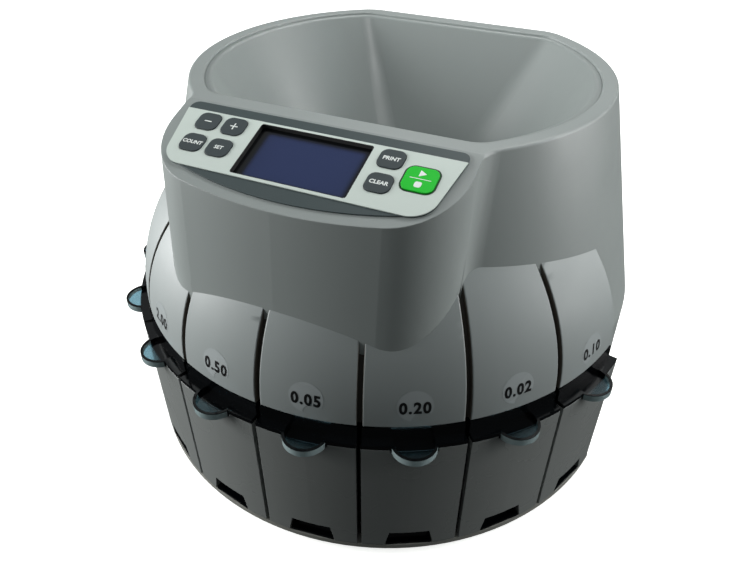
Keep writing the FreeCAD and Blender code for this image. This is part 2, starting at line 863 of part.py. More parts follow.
def build_housing():
    """Lofted upper housing with its rim, console and openings, and the hopper hung in it."""
    wall = S.housing_wall.value
    outer = rim_rounded(housing_body(0, RIM.value).cut(above_panel(0)).cut(bay_room()))
    inner = housing_body(wall, RIM.value - S.rim_thickness.value).cut(above_panel(wall))
    seat = S.hopper_wall.value + S.flange_clearance.value
    rebate = S.flange_drop.value + S.flange_thickness.value
    mouth = slab_between(hopper_outline(seat, RIM.value), FAR / 8)
    ledge = slab_between(hopper_outline(seat + S.flange_width.value, RIM.value), rebate)
    slack = S.cover_clearance.value
    service = cover_block(slack, wall * 2, (BACK_BASE - wall).value)
    shell = outer.cut([inner, mouth, ledge, service]).cut(panel_cutouts())
    brim = closed_wire(hopper_outline(seat + S.flange_width.value, RIM.value))
    shell = shell.makeFillet(S.ledge_round.value, [edge for edge in shell.Edges if lies_on(edge, brim)])
    piece("upper_housing", formed("upper_housing", shell))

    top = RIM.value - S.flange_drop.value
    foot = (HOOD + S.throat_height).value
    grow = S.hopper_wall.value
    flange = slab_between(hopper_outline(grow + S.flange_width.value, top), S.flange_thickness.value)
    cone = lofted([hopper_outline(grow, top), throat_outline(grow, foot)])
    hollow = lofted([hopper_outline(0, top), throat_outline(0, foot)])
    funnel = flange.fuse(cone).cut(hollow)
    brim = closed_wire(hopper_outline(0, top))
    funnel = funnel.makeFillet(S.hopper_round.value, [edge for edge in funnel.Edges if lies_on(edge, brim)])
    piece("hopper_funnel", formed("hopper_funnel", funnel))
    return outer


def fillet_corner(before, corner, after, radius):
    """The arc that rounds a corner between two straight sides."""
    one = before.sub(corner)
    two = after.sub(corner)
    one.normalize()
    two.normalize()
    half = one.getAngle(two) / 2
    run = radius / math.tan(half)
    start = corner.add(Vector(one).multiply(run))
    end = corner.add(Vector(two).multiply(run))
    inward = one.add(two)
    inward.normalize()
    centre = corner.add(inward.multiply(radius / math.sin(half)))
    return arc_between(centre, radius, start, end)


def ends_of(edge):
    return edge.Vertexes[0].Point, edge.Vertexes[-1].Point


def overlay_corner():
    """The rounded lower corner that the dark plate and the pale overlay share, and the corner above it."""
    base = -S.overlay_base.value
    foot = Vector(S.overlay_foot.value, base, 0)
    shoulder = Vector(S.overlay_half.value, S.overlay_top.value, 0)
    return fillet_corner(Vector(0, base, 0), foot, shoulder, S.overlay_corner.value), shoulder


def overlay_outline():
    """The pale overlay: straight top and bottom, sides that draw in downwards."""
    arc, shoulder = overlay_corner()
    start, end = ends_of(arc)
    top = Vector(0, shoulder.y, 0)
    return [Part.LineSegment(Vector(0, start.y, 0), start).toShape(), arc,
            Part.LineSegment(end, shoulder).toShape(), Part.LineSegment(shoulder, top).toShape()]


def plate_outline():
    """The dark plate: a strip above the overlay and a crescent below it."""
    arc, shoulder = overlay_corner()
    start, end = ends_of(arc)
    depth = S.crescent_depth.value
    sweep = (start.x ** 2 + depth ** 2) / (2 * depth)
    low = Vector(0, start.y - depth, 0)
    crown = shoulder.y + S.strip_height.value
    strip = fillet_corner(shoulder, Vector(shoulder.x, crown, 0), Vector(0, crown, 0), S.strip_corner.value)
    rise, top = ends_of(strip)
    return [arc_between(low.add(Vector(0, sweep, 0)), sweep, low, start), arc,
            Part.LineSegment(end, shoulder).toShape(), Part.LineSegment(shoulder, rise).toShape(), strip,
            Part.LineSegment(top, Vector(0, crown, 0)).toShape()]


def key_spots():
    """Each key's place across and up the panel, with its width and height."""
    half = S.key_spacing.value / 2
    row = S.key_row_height.value
    left = -S.left_keys.value
    right = S.right_keys.value
    small = (S.key_width, S.key_height)
    places = [(left - half, row + half), (left + half, row + half), (left - half, row - half),
              (left + half, row - half), (right, row + half), (right, row - half)]
    spots = {name: spot + small for name, spot in zip(KEYS, places)}
    spots["key_start"] = (S.start_offset.value, S.start_rise.value, S.start_width, S.start_height)
    return spots


def rounded_prism(width, height, corner, low, high):
    """An upright prism with a rounded rectangular plan about the panel's own axis."""
    prism = Part.makeBox(width, height, high - low, Vector(-width / 2, -height / 2, low))
    return prism.makeFillet(corner, [edge for edge in prism.Edges if upright(edge)])


def panel_cutouts():
    """Room for the window and for every key, through all that lies on the panel."""
    reach = S.module_depth.value
    gap = S.key_clearance.value
    rooms = []
    for u, v, width, height in key_spots().values():
        room = rounded_prism(width.value + 2 * gap, height.value + 2 * gap, S.key_corner.value + gap,
                             -reach, reach)
        room.translate(Vector(u, v, 0))
        rooms.append(room)
    slack = 2 * S.window_clearance.value
    rooms.append(rounded_prism(S.window_width.value + slack, S.window_height.value + slack,
                               S.window_corner.value, -reach, reach))
    for room in rooms:
        room.Placement = PANEL.multiply(room.Placement)
    return rooms


def panel_sheet(name, outline, low, thickness):
    """A thin sheet on the panel, open at the window and the keys."""
    sheet = Part.Face(closed_wire(outline)).extrude(Vector(0, 0, thickness))
    sheet.translate(Vector(0, 0, low))
    sheet.Placement = PANEL.multiply(sheet.Placement)
    return piece(name, formed(name, sheet.cut(panel_cutouts())))


def build_panel():
    """Control panel: dark plate, pale overlay, display, board with its switches, and seven keys."""
    plate = S.plate_thickness.value
    panel_sheet("panel_plate", plate_outline(), 0, plate)
    panel_sheet("panel_overlay", overlay_outline(), plate, S.overlay_thickness.value)

    floor = -S.housing_wall - S.module_depth
    glass = centred_block("window_block", S.window_width, S.window_height, S.window_thickness, 0, 0, 0)
    glass = rounded("window_glass", glass, S.window_corner / 2, upright)
    window = group("display_window", glass)
    piece("display_window", on_panel(window, w=-(S.window_sink + S.window_thickness).value))
    margin = S.module_margin * 2
    module = centred_block("module_block", S.window_width + margin, S.window_height + margin,
                           S.module_depth, 0, 0, 0)
    piece("lcd_module", on_panel(group("lcd_module", module), w=floor.value))
    board = centred_block("board_block", S.board_width, S.board_height, S.board_thickness, 0, S.board_shift, 0)
    piece("control_board", on_panel(group("control_board", board), w=(floor - S.board_thickness).value))

    top = S.plate_thickness + S.overlay_thickness + S.key_proud
    stem_foot = floor + S.switch_height + S.key_travel + S.key_clearance
    switch = centred_block("switch_block", S.switch_size, S.switch_size, S.switch_height, 0, 0, 0)
    switches = []
    for name, (u, v, width, height) in key_spots().items():
        cap = centred_block(name + "_cap", width, height, top + S.key_sink, 0, 0, -S.key_sink)
        cap = rounded(name + "_round", cap, S.key_corner, upright)
        stem = rod(name + "_stem", S.key_stem_radius, -S.key_sink - stem_foot, z=stem_foot)
        piece(name, on_panel(group(name, fuse(name + "_solid", cap, stem)), u, v))
        switches.append(on_panel(group(name + "_switch", switch), u, v, floor.value))
    piece("key_switches", group("key_switches", *switches))


def build_deck():
    """Sorting deck with graded apertures, its coin rail, sensors and posts."""
    plate = rod("deck_plate", DECK_RADIUS, S.deck_thickness, z=DECK)
    holes = [rod("deck_bore", S.spindle_radius + S.deck_bore_gap, FAR)]
    sensors = []
    for bay in range(BAY_COUNT):
        number = str(bay + 1)
        width = S.aperture_first - S.aperture_step * bay
        hole = centred_block("aperture_" + number, width, S.aperture_length, FAR, APERTURE_CIRCLE, 0, 0)
        holes.append(copy_at("aperture_at_" + number, hole, facing(bay_angle(bay))))
        eye = centred_block("sensor_" + number, S.sensor_size, S.sensor_size, S.sensor_size,
                            APERTURE_CIRCLE + width / 2 + S.sensor_size, 0, DECK - S.sensor_size)
        sensors.append(copy_at("sensor_at_" + number, eye, facing(bay_angle(bay))))
    piece("sorting_deck", cut("sorting_deck", plate, *holes))
    piece("coin_sensors", group("coin_sensors", *sensors))

    outer = RAIL_RADIUS + S.rail_width
    rail = turned("coin_rail", [(RAIL_RADIUS, 0), (outer, 0), (outer, S.rail_height),
                                (RAIL_RADIUS, S.rail_height)])
    piece("coin_rail", place(rail, z=DECK_TOP))

    post = rod("deck_post", S.post_radius, DECK - PAN_TOP, z=PAN_TOP)
    posts = []
    for corner in range(4):
        spot = Rotation(UP, 45 + 90 * corner).multVec(Vector(S.post_circle.value, 0, 0))
        posts.append(copy_at("deck_post_" + str(corner), post, Placement(spot, Rotation())))
    piece("deck_posts", group("deck_posts", *posts))


def build_feed():
    """Turning feed disc with its cap, the spindle in two bearings and the bearing carrier."""
    bevel = S.disc_thickness / 3
    disc = turned("feed_disc", [(S.spindle_radius, 0), (DISC_RADIUS, 0),
                                (DISC_RADIUS, S.disc_thickness - bevel),
                                (DISC_RADIUS - bevel, S.disc_thickness), (S.spindle_radius, S.disc_thickness)])
    piece("feed_disc", place(disc, z=DISC))
    cap = turned("disc_cap", [(0, 0), (S.cap_radius, 0), (S.cap_radius, S.cap_height / 7),
                              (S.cap_radius / 2, S.cap_height * 0.7), (S.cap_radius / 5, S.cap_height),
                              (0, S.cap_height)])
    piece("disc_cap", place(cap, z=DISC + S.disc_thickness))
    piece("spindle", rod("spindle", S.spindle_radius, DISC + S.disc_thickness - PULLEY, z=PULLEY))

    bore = S.bearing_radius
    stop = bore - S.bearing_stop
    depth = S.bearing_width
    long = S.carrier_length
    waist = long - S.carrier_flange_height
    carrier = turned("bearing_carrier", [
        (stop, depth), (bore, depth), (bore, 0), (S.carrier_radius, 0), (S.carrier_radius, waist),
        (S.carrier_flange, waist), (S.carrier_flange, long), (bore, long), (bore, long - depth),
        (stop, long - depth)])
    piece("bearing_carrier", place(carrier, z=CARRIER))
    inner = S.spindle_radius + S.bearing_clearance
    ring = turned("bearing_ring", [(inner, 0), (bore, 0), (bore, depth), (inner, depth)])
    low = copy_at("bearing_low", ring, Placement(Vector(0, 0, CARRIER.value), Rotation()))
    high = copy_at("bearing_high", ring, Placement(Vector(0, 0, (DECK - depth).value), Rotation()))
    piece("spindle_bearings", group("spindle_bearings", low, high))


def pulley(name, radius, bore):
    """A flat belt pulley with two flanges."""
    lip = radius + S.pulley_flange
    edge = S.pulley_flange
    width = S.pulley_width
    return turned(name, [(bore, 0), (lip, 0), (lip, edge), (radius, edge), (radius, width - edge),
                         (lip, width - edge), (lip, width), (bore, width)])


def belt_face(inset):
    """Outline of the belt round both pulleys, by its inner or outer face."""
    large = S.pulley_radius.value + S.belt_clearance.value + inset
    small = S.motor_pulley_radius.value + S.belt_clearance.value + inset
    far = Vector(0, S.motor_distance.value, 0)
    lean = math.asin((large - small) / far.y)
    out = Vector(math.cos(lean), math.sin(lean), 0)
    side = Vector(large, 0, 0)
    start = Vector(out).multiply(large)
    end = far.add(Vector(out).multiply(small))
    half = [arc_between(Vector(), large, Vector(0, -large, 0), side),
            arc_between(Vector(), large, side, start),
            Part.LineSegment(start, end).toShape(),
            arc_between(far, small, end, far.add(Vector(0, small, 0)))]
    return Part.Face(closed_wire(half))


def build_drive():
    """Motor on its bracket, both pulleys and the belt between them."""
    piece("spindle_pulley", place(pulley("spindle_pulley", S.pulley_radius, S.spindle_radius), z=PULLEY))
    small = pulley("motor_pulley", S.motor_pulley_radius, S.motor_shaft_radius)
    piece("motor_pulley", place(small, y=S.motor_distance, z=PULLEY))
    lift = (S.pulley_width - S.belt_width) / 2
    loop = belt_face(S.belt_thickness.value).cut(belt_face(0))
    belt = formed("drive_belt", loop.extrude(Vector(0, 0, S.belt_width.value)))
    piece("drive_belt", place(belt, z=PULLEY + lift))

    motor_top = PULLEY - S.pulley_gap
    motor_base = motor_top - S.motor_length
    boss = S.motor_radius / 3
    step = S.motor_radius / 9
    long = S.motor_length
    motor = turned("drive_motor", [(0, 0), (S.motor_radius - step, 0), (S.motor_radius, step),
                                   (S.motor_radius, long - step), (boss, long - step),
                                   (boss, long - S.belt_clearance), (0, long - S.belt_clearance)])
    piece("drive_motor", place(motor, y=S.motor_distance, z=motor_base))
    shaft = rod("motor_shaft", S.motor_shaft_radius, S.pulley_gap + S.pulley_width, y=S.motor_distance,
                z=motor_top)
    piece("motor_shaft", shaft)

    side = (S.motor_radius + S.bracket_margin) * 2
    plate = centred_block("bracket_plate", side, side, motor_base - PAN_TOP, 0, S.motor_distance, PAN_TOP)
    collar = rod("bracket_collar", S.motor_radius + S.bracket_thickness, S.collar_height, y=S.motor_distance,
                 z=motor_base)
    room = rod("bracket_room", S.motor_radius, S.collar_height, y=S.motor_distance, z=motor_base)
    piece("motor_bracket", fuse("motor_bracket", plate, cut("bracket_ring", collar, room)))


def cover_block(grow, depth, front):
    """A plate of the service cover's outline, grown all round, from a front level backwards."""
    width = 2 * (COVER_HALF.value + grow)
    height = S.cover_height.value + 2 * grow
    plate = Part.makeBox(width, depth, height, Vector(-width / 2, front, S.cover_rise.value - grow))
    return plate.makeFillet(S.cover_corner.value + grow, [edge for edge in plate.Edges if fore_and_aft(edge)])


def rear_fittings():
    """Name, width and height of each opening in the back, with its place across."""
    frame = S.rocker_frame * 2
    return (("inlet", S.inlet_width, S.inlet_height, -INLET_OFFSET),
            ("rocker", S.rocker_width + frame, S.rocker_height + frame, -S.rocker_offset),
            ("port", S.port_width, S.port_height, S.port_offset))


def build_rear():
    """Service cover in the flat back, with vents, and what is fitted in and behind it."""
    wall = S.housing_wall.value
    inside = (BACK_BASE - S.housing_wall).value
    flange = S.cover_flange.value
    plate = cover_block(0, wall, inside).fuse(cover_block(S.cover_lip.value, flange, inside - flange))
    cover = formed("cover_plate", plate)
    deep = (S.housing_wall + S.cover_flange) * 4
    holes = [centred_block(name + "_hole", width, deep, height, across, BACK_BASE, S.inlet_rise - height / 2)
             for name, width, height, across in rear_fittings()]
    for row in range(int(S.vent_count.value)):
        holes.append(centred_block("vent_" + str(row), S.vent_width, deep, S.vent_height, 0, BACK_BASE,
                                   S.vent_rise + S.vent_pitch * row))
    piece("rear_cover", cut("rear_cover", cover, *holes))
    build_inlet()
    build_switch()
    build_port()
    supply = centred_block("supply_block", S.supply_width, S.supply_depth, S.supply_height, -SUPPLY_OFFSET,
                           SUPPLY_MIDDLE, PAN_TOP)
    piece("power_supply", rounded("power_supply", supply, S.supply_round, upright))


def build_inlet():
    """Mains inlet: a flanged socket in the cover with three blades."""
    rim = S.inlet_flange
    body = centred_block("inlet_body", S.inlet_width, S.inlet_depth, S.inlet_height, -INLET_OFFSET,
                         BACK_BASE - S.inlet_depth / 2, S.inlet_rise - S.inlet_height / 2)
    flange = centred_block("inlet_rim", S.inlet_width + rim * 2, rim / 2, S.inlet_height + rim * 2,
                           -INLET_OFFSET, BACK_BASE + rim / 4, S.inlet_rise - S.inlet_height / 2 - rim)
    floor = BACK_BASE - S.inlet_depth + rim
    deep = S.inlet_depth
    socket = centred_block("inlet_socket", S.inlet_width - rim * 2, deep, S.inlet_height - rim * 2,
                           -INLET_OFFSET, floor + deep / 2, S.inlet_rise - S.inlet_height / 2 + rim)
    piece("power_inlet", cut("power_inlet", fuse("inlet_solid", body, flange), socket))
    blades = []
    reach = S.inlet_depth - rim * 2
    for side in (-1, 0, 1):
        rise = S.pin_stagger if side == 0 else -S.pin_stagger
        blades.append(centred_block("inlet_blade_" + str(side + 1), S.pin_width, reach, S.pin_height,
                                    S.pin_spacing * side - INLET_OFFSET, floor + reach / 2,
                                    S.inlet_rise + rise - S.pin_height / 2))
    piece("inlet_blades", group("inlet_blades", *blades))


def build_switch():
    """Mains switch: a frame in the cover and the rocker that tilts in it."""
    frame = S.rocker_frame
    width = S.rocker_width + frame * 2
    height = S.rocker_height + frame * 2
    base = S.inlet_rise - height / 2
    depth = S.rocker_depth + frame
    body = centred_block("switch_body", width, depth, height, -S.rocker_offset, BACK_BASE - depth / 2, base)
    lip = centred_block("switch_lip", width + frame, frame / 2, height + frame, -S.rocker_offset,
                        BACK_BASE + frame / 4, base - frame / 2)
    slack = S.rocker_clearance * 2
    room = centred_block("switch_room", S.rocker_width + slack, S.rocker_depth * 2, S.rocker_height + slack,
                         -S.rocker_offset, BACK_BASE, S.inlet_rise - S.rocker_height / 2 - S.rocker_clearance)
    piece("switch_frame", cut("switch_frame", fuse("switch_solid", body, lip), room))

    half = S.rocker_height / 2
    bow = S.rocker_bow
    pivot = S.rocker_pivot
    proud = pivot + S.rocker_proud
    rocker = padded("rocker_key", [(-pivot, bow - half), (pivot, -half), (proud, bow - half),
                                   (proud - bow, 0), (proud, half - bow), (pivot, half), (-pivot, half - bow)],
                    S.rocker_width, "YZ_Plane")
    spot = Vector(-(S.rocker_offset + S.rocker_width / 2).value, (BACK_BASE - pivot).value, S.inlet_rise.value)
    tilted = group("power_rocker", rocker)
    tilted.Placement = Placement(spot, Rotation(ACROSS, -S.rocker_tilt.value))
    piece("power_rocker", tilted)


def build_port():
    """Data port: a shallow socket in the cover."""
    wall = S.port_wall
    body = centred_block("port_body", S.port_width, S.port_depth, S.port_height, S.port_offset,
                         BACK_BASE - S.port_depth / 2, S.inlet_rise - S.port_height / 2)
    socket = centred_block("port_socket", S.port_width - wall * 2, S.port_depth, S.port_height - wall * 2,
                           S.port_offset, BACK_BASE - S.port_depth / 2 + wall,
                           S.inlet_rise - S.port_height / 2 + wall)
    piece("data_port", cut("data_port", body, socket))


def check_and_export():
    """Stop on any failed object, then write each piece's solids."""
    doc.recompute()
    for item in doc.Objects:
        if "Invalid" in item.State or "Error" in item.State:
            raise RuntimeError(item.Label + " failed: " + str(item.State))
    os.makedirs("parts", exist_ok=True)
    for label, item in pieces.items():
        shape = item.Shape
        if shape.isNull() or not shape.isValid() or not shape.Solids:
            raise RuntimeError(label + " has no valid solid")
        shape.exportStep("parts/" + label + ".step")
        print(label, len(shape.Solids), round(shape.Volume), [round(side, 1) for side in (
            shape.BoundBox.XMin, shape.BoundBox.XMax, shape.BoundBox.YMin, shape.BoundBox.YMax,
            shape.BoundBox.ZMin, shape.BoundBox.ZMax)])


def main():
    fill_sheet()
    build_base()
    build_drawers()
    build_hood(build_housing())
    build_panel()
    build_deck()
    build_feed()
    build_drive()
    build_rear()
    check_and_export()


main()
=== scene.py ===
"""Looks of a desktop coin sorting machine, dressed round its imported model."""

from __future__ import annotations

import logging
import math
from contextlib import contextmanager
from dataclasses import dataclass
from enum import Enum
from typing import Callable, Iterator, Sequence, Union

import bpy
from mathutils import Matrix, Vector


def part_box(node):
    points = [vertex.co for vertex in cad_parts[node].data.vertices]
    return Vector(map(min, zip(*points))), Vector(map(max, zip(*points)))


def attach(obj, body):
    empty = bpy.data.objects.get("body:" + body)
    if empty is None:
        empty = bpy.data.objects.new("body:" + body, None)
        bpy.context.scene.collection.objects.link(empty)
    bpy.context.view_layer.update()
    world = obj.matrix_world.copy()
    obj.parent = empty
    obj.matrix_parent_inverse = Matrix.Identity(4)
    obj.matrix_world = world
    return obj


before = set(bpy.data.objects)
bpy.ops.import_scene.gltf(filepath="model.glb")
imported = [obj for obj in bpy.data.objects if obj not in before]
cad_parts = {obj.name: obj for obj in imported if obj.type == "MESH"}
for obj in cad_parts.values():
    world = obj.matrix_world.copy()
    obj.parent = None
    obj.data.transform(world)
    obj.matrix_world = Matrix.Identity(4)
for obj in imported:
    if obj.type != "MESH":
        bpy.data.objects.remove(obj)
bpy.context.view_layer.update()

log = logging.getLogger("coin_sorter")

MM = 0.001
# Values of the eight bays from left to right, and their turns from the front in degrees.
BAY_VALUES = ("5.00", "1.00", "2.00", "0.50", "0.05", "0.20", "0.02", "0.10")
BAY_STEP = 20.0
BAY_SHIFT = 1.5
BAY_MIDDLE = (len(BAY_VALUES) - 1) / 2
BAY_TURNS = tuple((bay - BAY_MIDDLE) * BAY_STEP - BAY_SHIFT for bay in range(len(BAY_VALUES)))
# Height of the hood's lower edge, in metres.
HOOD_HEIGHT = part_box("petal_panels")[0].z
# Slope of the console's panel and its display, in degrees.
PANEL_TILT = 20.0
# Distance from the axis at which a ray starts towards the machine, in metres.
RAY_START = 0.3
# Turn that lets a piece modelled upright stand out of the machine's back, and the way in there.
OUT_OF_BACK = Matrix.Rotation(-math.pi / 2, 4, "X")
INTO_BACK = Vector((0, -1, 0))
# A face looks up if its normal rises by more than this.
LOOKS_UP = 0.9
# Edges sharper than this stay sharp, in degrees.
SHARP_ANGLE = 35
# Inputs of a Mix node for colours, whose names it also uses for numbers and vectors.
SHARE, FIRST, SECOND = 0, 6, 7
# Multiplying by the first leaves a vector's level part. The second is the machine's axis.
LEVEL, UPRIGHT = (1, 1, 0), (0, 0, 1)
# Values of the patches' noise between which the gloss and the tint change.
GLOSS_SPAN, TINT_SPAN = (0.3, 0.7), (0.35, 0.7)
# Radians that a wave texture runs through in one unit of length, at a scale of one.
WAVE_RATE = 20

Piece = bpy.types.Object
Tree = bpy.types.NodeTree
Node = bpy.types.Node
Output = bpy.types.NodeSocket
Sockets = dict[Union[str, int], Union[float, Sequence[float], Output, Node]]
Pair = tuple[float, float]
Triple = tuple[float, float, float]
FaceTest = Callable[[bpy.types.MeshPolygon], bool]


class Body(str, Enum):
    """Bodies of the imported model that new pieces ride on."""

    CHASSIS = "chassis"
    ROCKER = "mains_rocker"


def linear(code: str) -> tuple[float, float, float, float]:
    """Turn an sRGB hex colour into linear light, by the formula of that standard.

    Args:
        code: Six hex digits, such as "8C9290".

    Returns:
        Red, green, blue and an alpha of one.
    """
    channels = [int(code[start:start + 2], 16) / 255 for start in (0, 2, 4)]
    light = [value / 12.92 if value <= 0.04045 else ((value + 0.055) / 1.055) ** 2.4 for value in channels]
    return light[0], light[1], light[2], 1.0


def feed(tree: Tree, target: Node, sockets: Sockets) -> None:
    """Set the inputs of a node, or link them to what feeds them.

    Args:
        tree: The material's node tree.
        target: The node.
        sockets: Input names or numbers, each with a value, an output, or a node for its first output in use.
    """
    for name, value in sockets.items():
        if isinstance(value, Node):
            value = next(output for output in value.outputs if output.enabled)
        if isinstance(value, Output):
            tree.links.new(value, target.inputs[name])
        else:
            target.inputs[name].default_value = value


def node(tree: Tree, kind: str, sockets: Sockets | None = None, **settings: object) -> Node:
    """Add a node to a material, with its settings and what feeds its sockets.

    Args:
        tree: The material's node tree.
        kind: Type of the node, without its ShaderNode prefix.
        sockets: What its inputs get, as in feed.
        **settings: Properties of the node.

    Returns:
        The new node.
    """
    made = tree.nodes.new("ShaderNode" + kind)
    for name, value in settings.items():
        setattr(made, name, value)
    feed(tree, made, sockets or {})
    return made


@dataclass(frozen=True)
class Finish:
    """A material: what the surface is made of and how it was made.

    Attributes:
        name: Common name of the material.
        colour: Base colour as an sRGB hex code.
        roughness: Roughness of the surface.
        metallic: One for bare metal.
        ior: Index of refraction, left alone on metals.
        grain: Width of one grain of the surface, in millimetres.
        depth: Height of that grain, in millimetres.
        mottle: How far the roughness wanders over the surface.
        patch: Width of the patches in which gloss and colour wander, in millimetres.
        tint: Second colour that the base colour drifts to.
        drift: How much of the tint shows at its strongest.
        edge: Radius of the moulded edges that catch the light, in millimetres.
    """

    name: str
    colour: str
    roughness: float = 0.45
    metallic: float = 0.0
    ior: float = 1.5
    grain: float = 0.6
    depth: float = 0.01
    mottle: float = 0.06
    patch: float = 45.0
    tint: str = ""
    drift: float = 0.25
    edge: float = 0.0

    def build(self) -> bpy.types.Material:
        """Make the material, or find the one made before.

        Returns:
            The material.
        """
        found = bpy.data.materials.get(self.name)
        if found is not None:
            return found
        material = bpy.data.materials.new(self.name)
        material.use_nodes = True
        material.diffuse_color = linear(self.colour)
        tree = material.node_tree
        shader = tree.nodes["Principled BSDF"]
        feed(tree, shader, {"Base Color": linear(self.colour), "Roughness": self.roughness,
                            "Metallic": self.metallic})
        if not self.metallic:
            feed(tree, shader, {"IOR": self.ior})
        self.surface(tree, shader, node(tree, "TexCoord").outputs["Object"])
        return material

    def surface(self, tree: Tree, shader: Node, place: Output) -> None:
        """Add the moulded grain, the drift of the colour and the wander of the gloss.

        Args:
            tree: The material's node tree.
            shader: Its principled shader.
            place: Object coordinates.
        """
        grain = node(tree, "TexNoise", {"Vector": place, "Scale": 1 / (self.grain * MM), "Detail": 2.0})
        patches = node(tree, "TexNoise", {"Vector": place, "Scale": 1 / (self.patch * MM), "Detail": 3.0})
        gloss = node(tree, "MapRange", {
            "Value": patches, "From Min": GLOSS_SPAN[0], "From Max": GLOSS_SPAN[1],
            "To Min": self.roughness - self.mottle, "To Max": self.roughness + self.mottle})
        if self.tint:
            share = node(tree, "MapRange", {"Value": patches, "From Min": TINT_SPAN[0],
                                            "From Max": TINT_SPAN[1], "To Max": self.drift})
            blend = node(tree, "Mix", {SHARE: share, FIRST: linear(self.colour), SECOND: linear(self.tint)},
                         data_type="RGBA")
            feed(tree, shader, {"Base Color": blend})
        bump = node(tree, "Bump", {"Height": grain, "Distance": self.depth * MM})
        if self.edge:
            feed(tree, bump, {"Normal": node(tree, "Bevel", {"Radius": self.edge * MM}, samples=6)})
        feed(tree, shader, {"Roughness": gloss, "Normal": bump})


@dataclass(frozen=True)
class SmokedPlastic(Finish):
    """Clear plastic dyed a smoky blue: black in the mass, blue where the thin pull tabs let light in, and
    painted light on the tabs' outer wall.

    Attributes:
        dish: Colour of the light that comes through the thin floor of the tabs.
        wall: Pale colour painted on the tabs' outer wall, as painted light for light scattered down through
            it.
        clear: How much of the light goes through the floor.
        wall_light_share: How much of that the wall shows as its painted light colour instead.
        reach: Distance from the axis where the tabs stand out of the band, in millimetres.
        brim: Height of the tabs' upper edge, which is thick and dark, in millimetres.
        turn: Width of the soft change from one to the other, in millimetres.
        lean: Rise of a face's normal on the wall and on the floor.
    """

    dish: str = "648794"
    # Painted light: the wall's pale colour stands in for light scattered down through the tabs.
    wall: str = "A2B4B5"
    clear: float = 0.97
    wall_light_share: float = 0.75
    reach: float = 172.3
    brim: float = 99.2
    turn: float = 0.5
    lean: Pair = (0.3, 0.7)

    def surface(self, tree: Tree, shader: Node, place: Output) -> None:
        """Let tinted light through the tabs, over the plain surface.

        Args:
            tree: The material's node tree.
            shader: Its principled shader.
            place: Object coordinates.
        """
        super().surface(tree, shader, place)
        flat = node(tree, "VectorMath", {0: place, 1: LEVEL}, operation="MULTIPLY")
        length = node(tree, "VectorMath", {0: flat}, operation="LENGTH")
        out = node(tree, "MapRange", {"Value": length, "From Min": self.reach * MM,
                                      "From Max": (self.reach + self.turn) * MM})
        height = node(tree, "SeparateXYZ", {"Vector": place}).outputs["Z"]
        below = node(tree, "MapRange", {"Value": height, "From Min": (self.brim + self.turn) * MM,
                                        "From Max": self.brim * MM})
        thin = node(tree, "Math", {0: out, 1: below}, operation="MULTIPLY")
        normal = node(tree, "NewGeometry").outputs["Normal"]
        rise = node(tree, "SeparateXYZ", {"Vector": normal}).outputs["Z"]
        upright = node(tree, "MapRange", {"Value": rise, "From Min": self.lean[1], "From Max": self.lean[0]})
        # Painted light: upright faces of the tabs take the pale wall colour.
        tab_and_wall_light = node(tree, "Mix", {SHARE: upright, FIRST: linear(self.dish), SECOND: linear(self.wall)},
                   data_type="RGBA")
        tint = node(tree, "Mix", {SHARE: thin, FIRST: linear(self.colour), SECOND: tab_and_wall_light}, data_type="RGBA")
        passed = node(tree, "MapRange", {"Value": upright, "To Min": self.clear,
                                         "To Max": self.clear * (1 - self.wall_light_share)})
        share = node(tree, "Math", {0: thin, 1: passed}, operation="MULTIPLY")
        feed(tree, shader, {"Base Color": tint, "Transmission Weight": share})


@dataclass(frozen=True)
class PanelPlastic(Finish):
    """Moulded panels side by side: grey outside, with painted shade on the walls down in the grooves between
    them.

    Attributes:
        groove_shade: Colour of the painted shade on those walls, standing in for the shadow deep in the
            grooves.
        swing: How squarely a face looks along the ring where the painted shade begins and where it is full.
    """

    # Painted shade: a dark warm colour for the shadow down in the grooves.
    groove_shade: str = "56524B"
    swing: Pair = (0.55, 0.8)

    def surface(self, tree: Tree, shader: Node, place: Output) -> None:
        """Paint shade on the walls that face along the ring, over the plain surface.

        Args:
            tree: The material's node tree.
            shader: Its principled shader.
            place: Object coordinates.
        """
        super().surface(tree, shader, place)
        skin = shader.inputs["Base Color"].links[0].from_socket
        flat = node(tree, "VectorMath", {0: place, 1: LEVEL}, operation="MULTIPLY")
        out = node(tree, "VectorMath", {0: flat}, operation="NORMALIZE")
        along = node(tree, "VectorMath", {0: out, 1: UPRIGHT}, operation="CROSS_PRODUCT")
        normal = node(tree, "NewGeometry").outputs["Normal"]
        facing = node(tree, "VectorMath", {0: along, 1: normal}, operation="DOT_PRODUCT")
        size = node(tree, "Math", {0: facing}, operation="ABSOLUTE")
        share = node(tree, "MapRange", {"Value": size, "From Min": self.swing[0], "From Max": self.swing[1]})
        # Painted shade: walls that face along the ring take the dark colour for the shadow in the grooves.
        blend = node(tree, "Mix", {SHARE: share, FIRST: skin, SECOND: linear(self.groove_shade)}, data_type="RGBA")
        feed(tree, shader, {"Base Color": blend})


@dataclass(frozen=True)
class TurnedMetal(Finish):
    """Metal with fine turning marks in rings round the machine's axis.

    Attributes:
        pitch: Distance from ring to ring, in millimetres, coarser than real marks so that it shows.
    """

    pitch: float = 1.6

    def surface(self, tree: Tree, shader: Node, place: Output) -> None:
        """Add the rings to the gloss and the relief.

        Args:
            tree: The material's node tree.
            shader: Its principled shader.
            place: Object coordinates.
        """
        rings = node(tree, "TexWave", {"Vector": place, "Scale": math.tau / (WAVE_RATE * self.pitch * MM),
                                       "Distortion": 0.2, "Detail": 1.0},
                     wave_type="RINGS", rings_direction="Z").outputs["Fac"]
        gloss = node(tree, "MapRange", {"Value": rings, "To Min": self.roughness - self.mottle,
                                        "To Max": self.roughness + self.mottle})
        bump = node(tree, "Bump", {"Height": rings, "Distance": self.depth * MM})
        feed(tree, shader, {"Roughness": gloss, "Normal": bump})


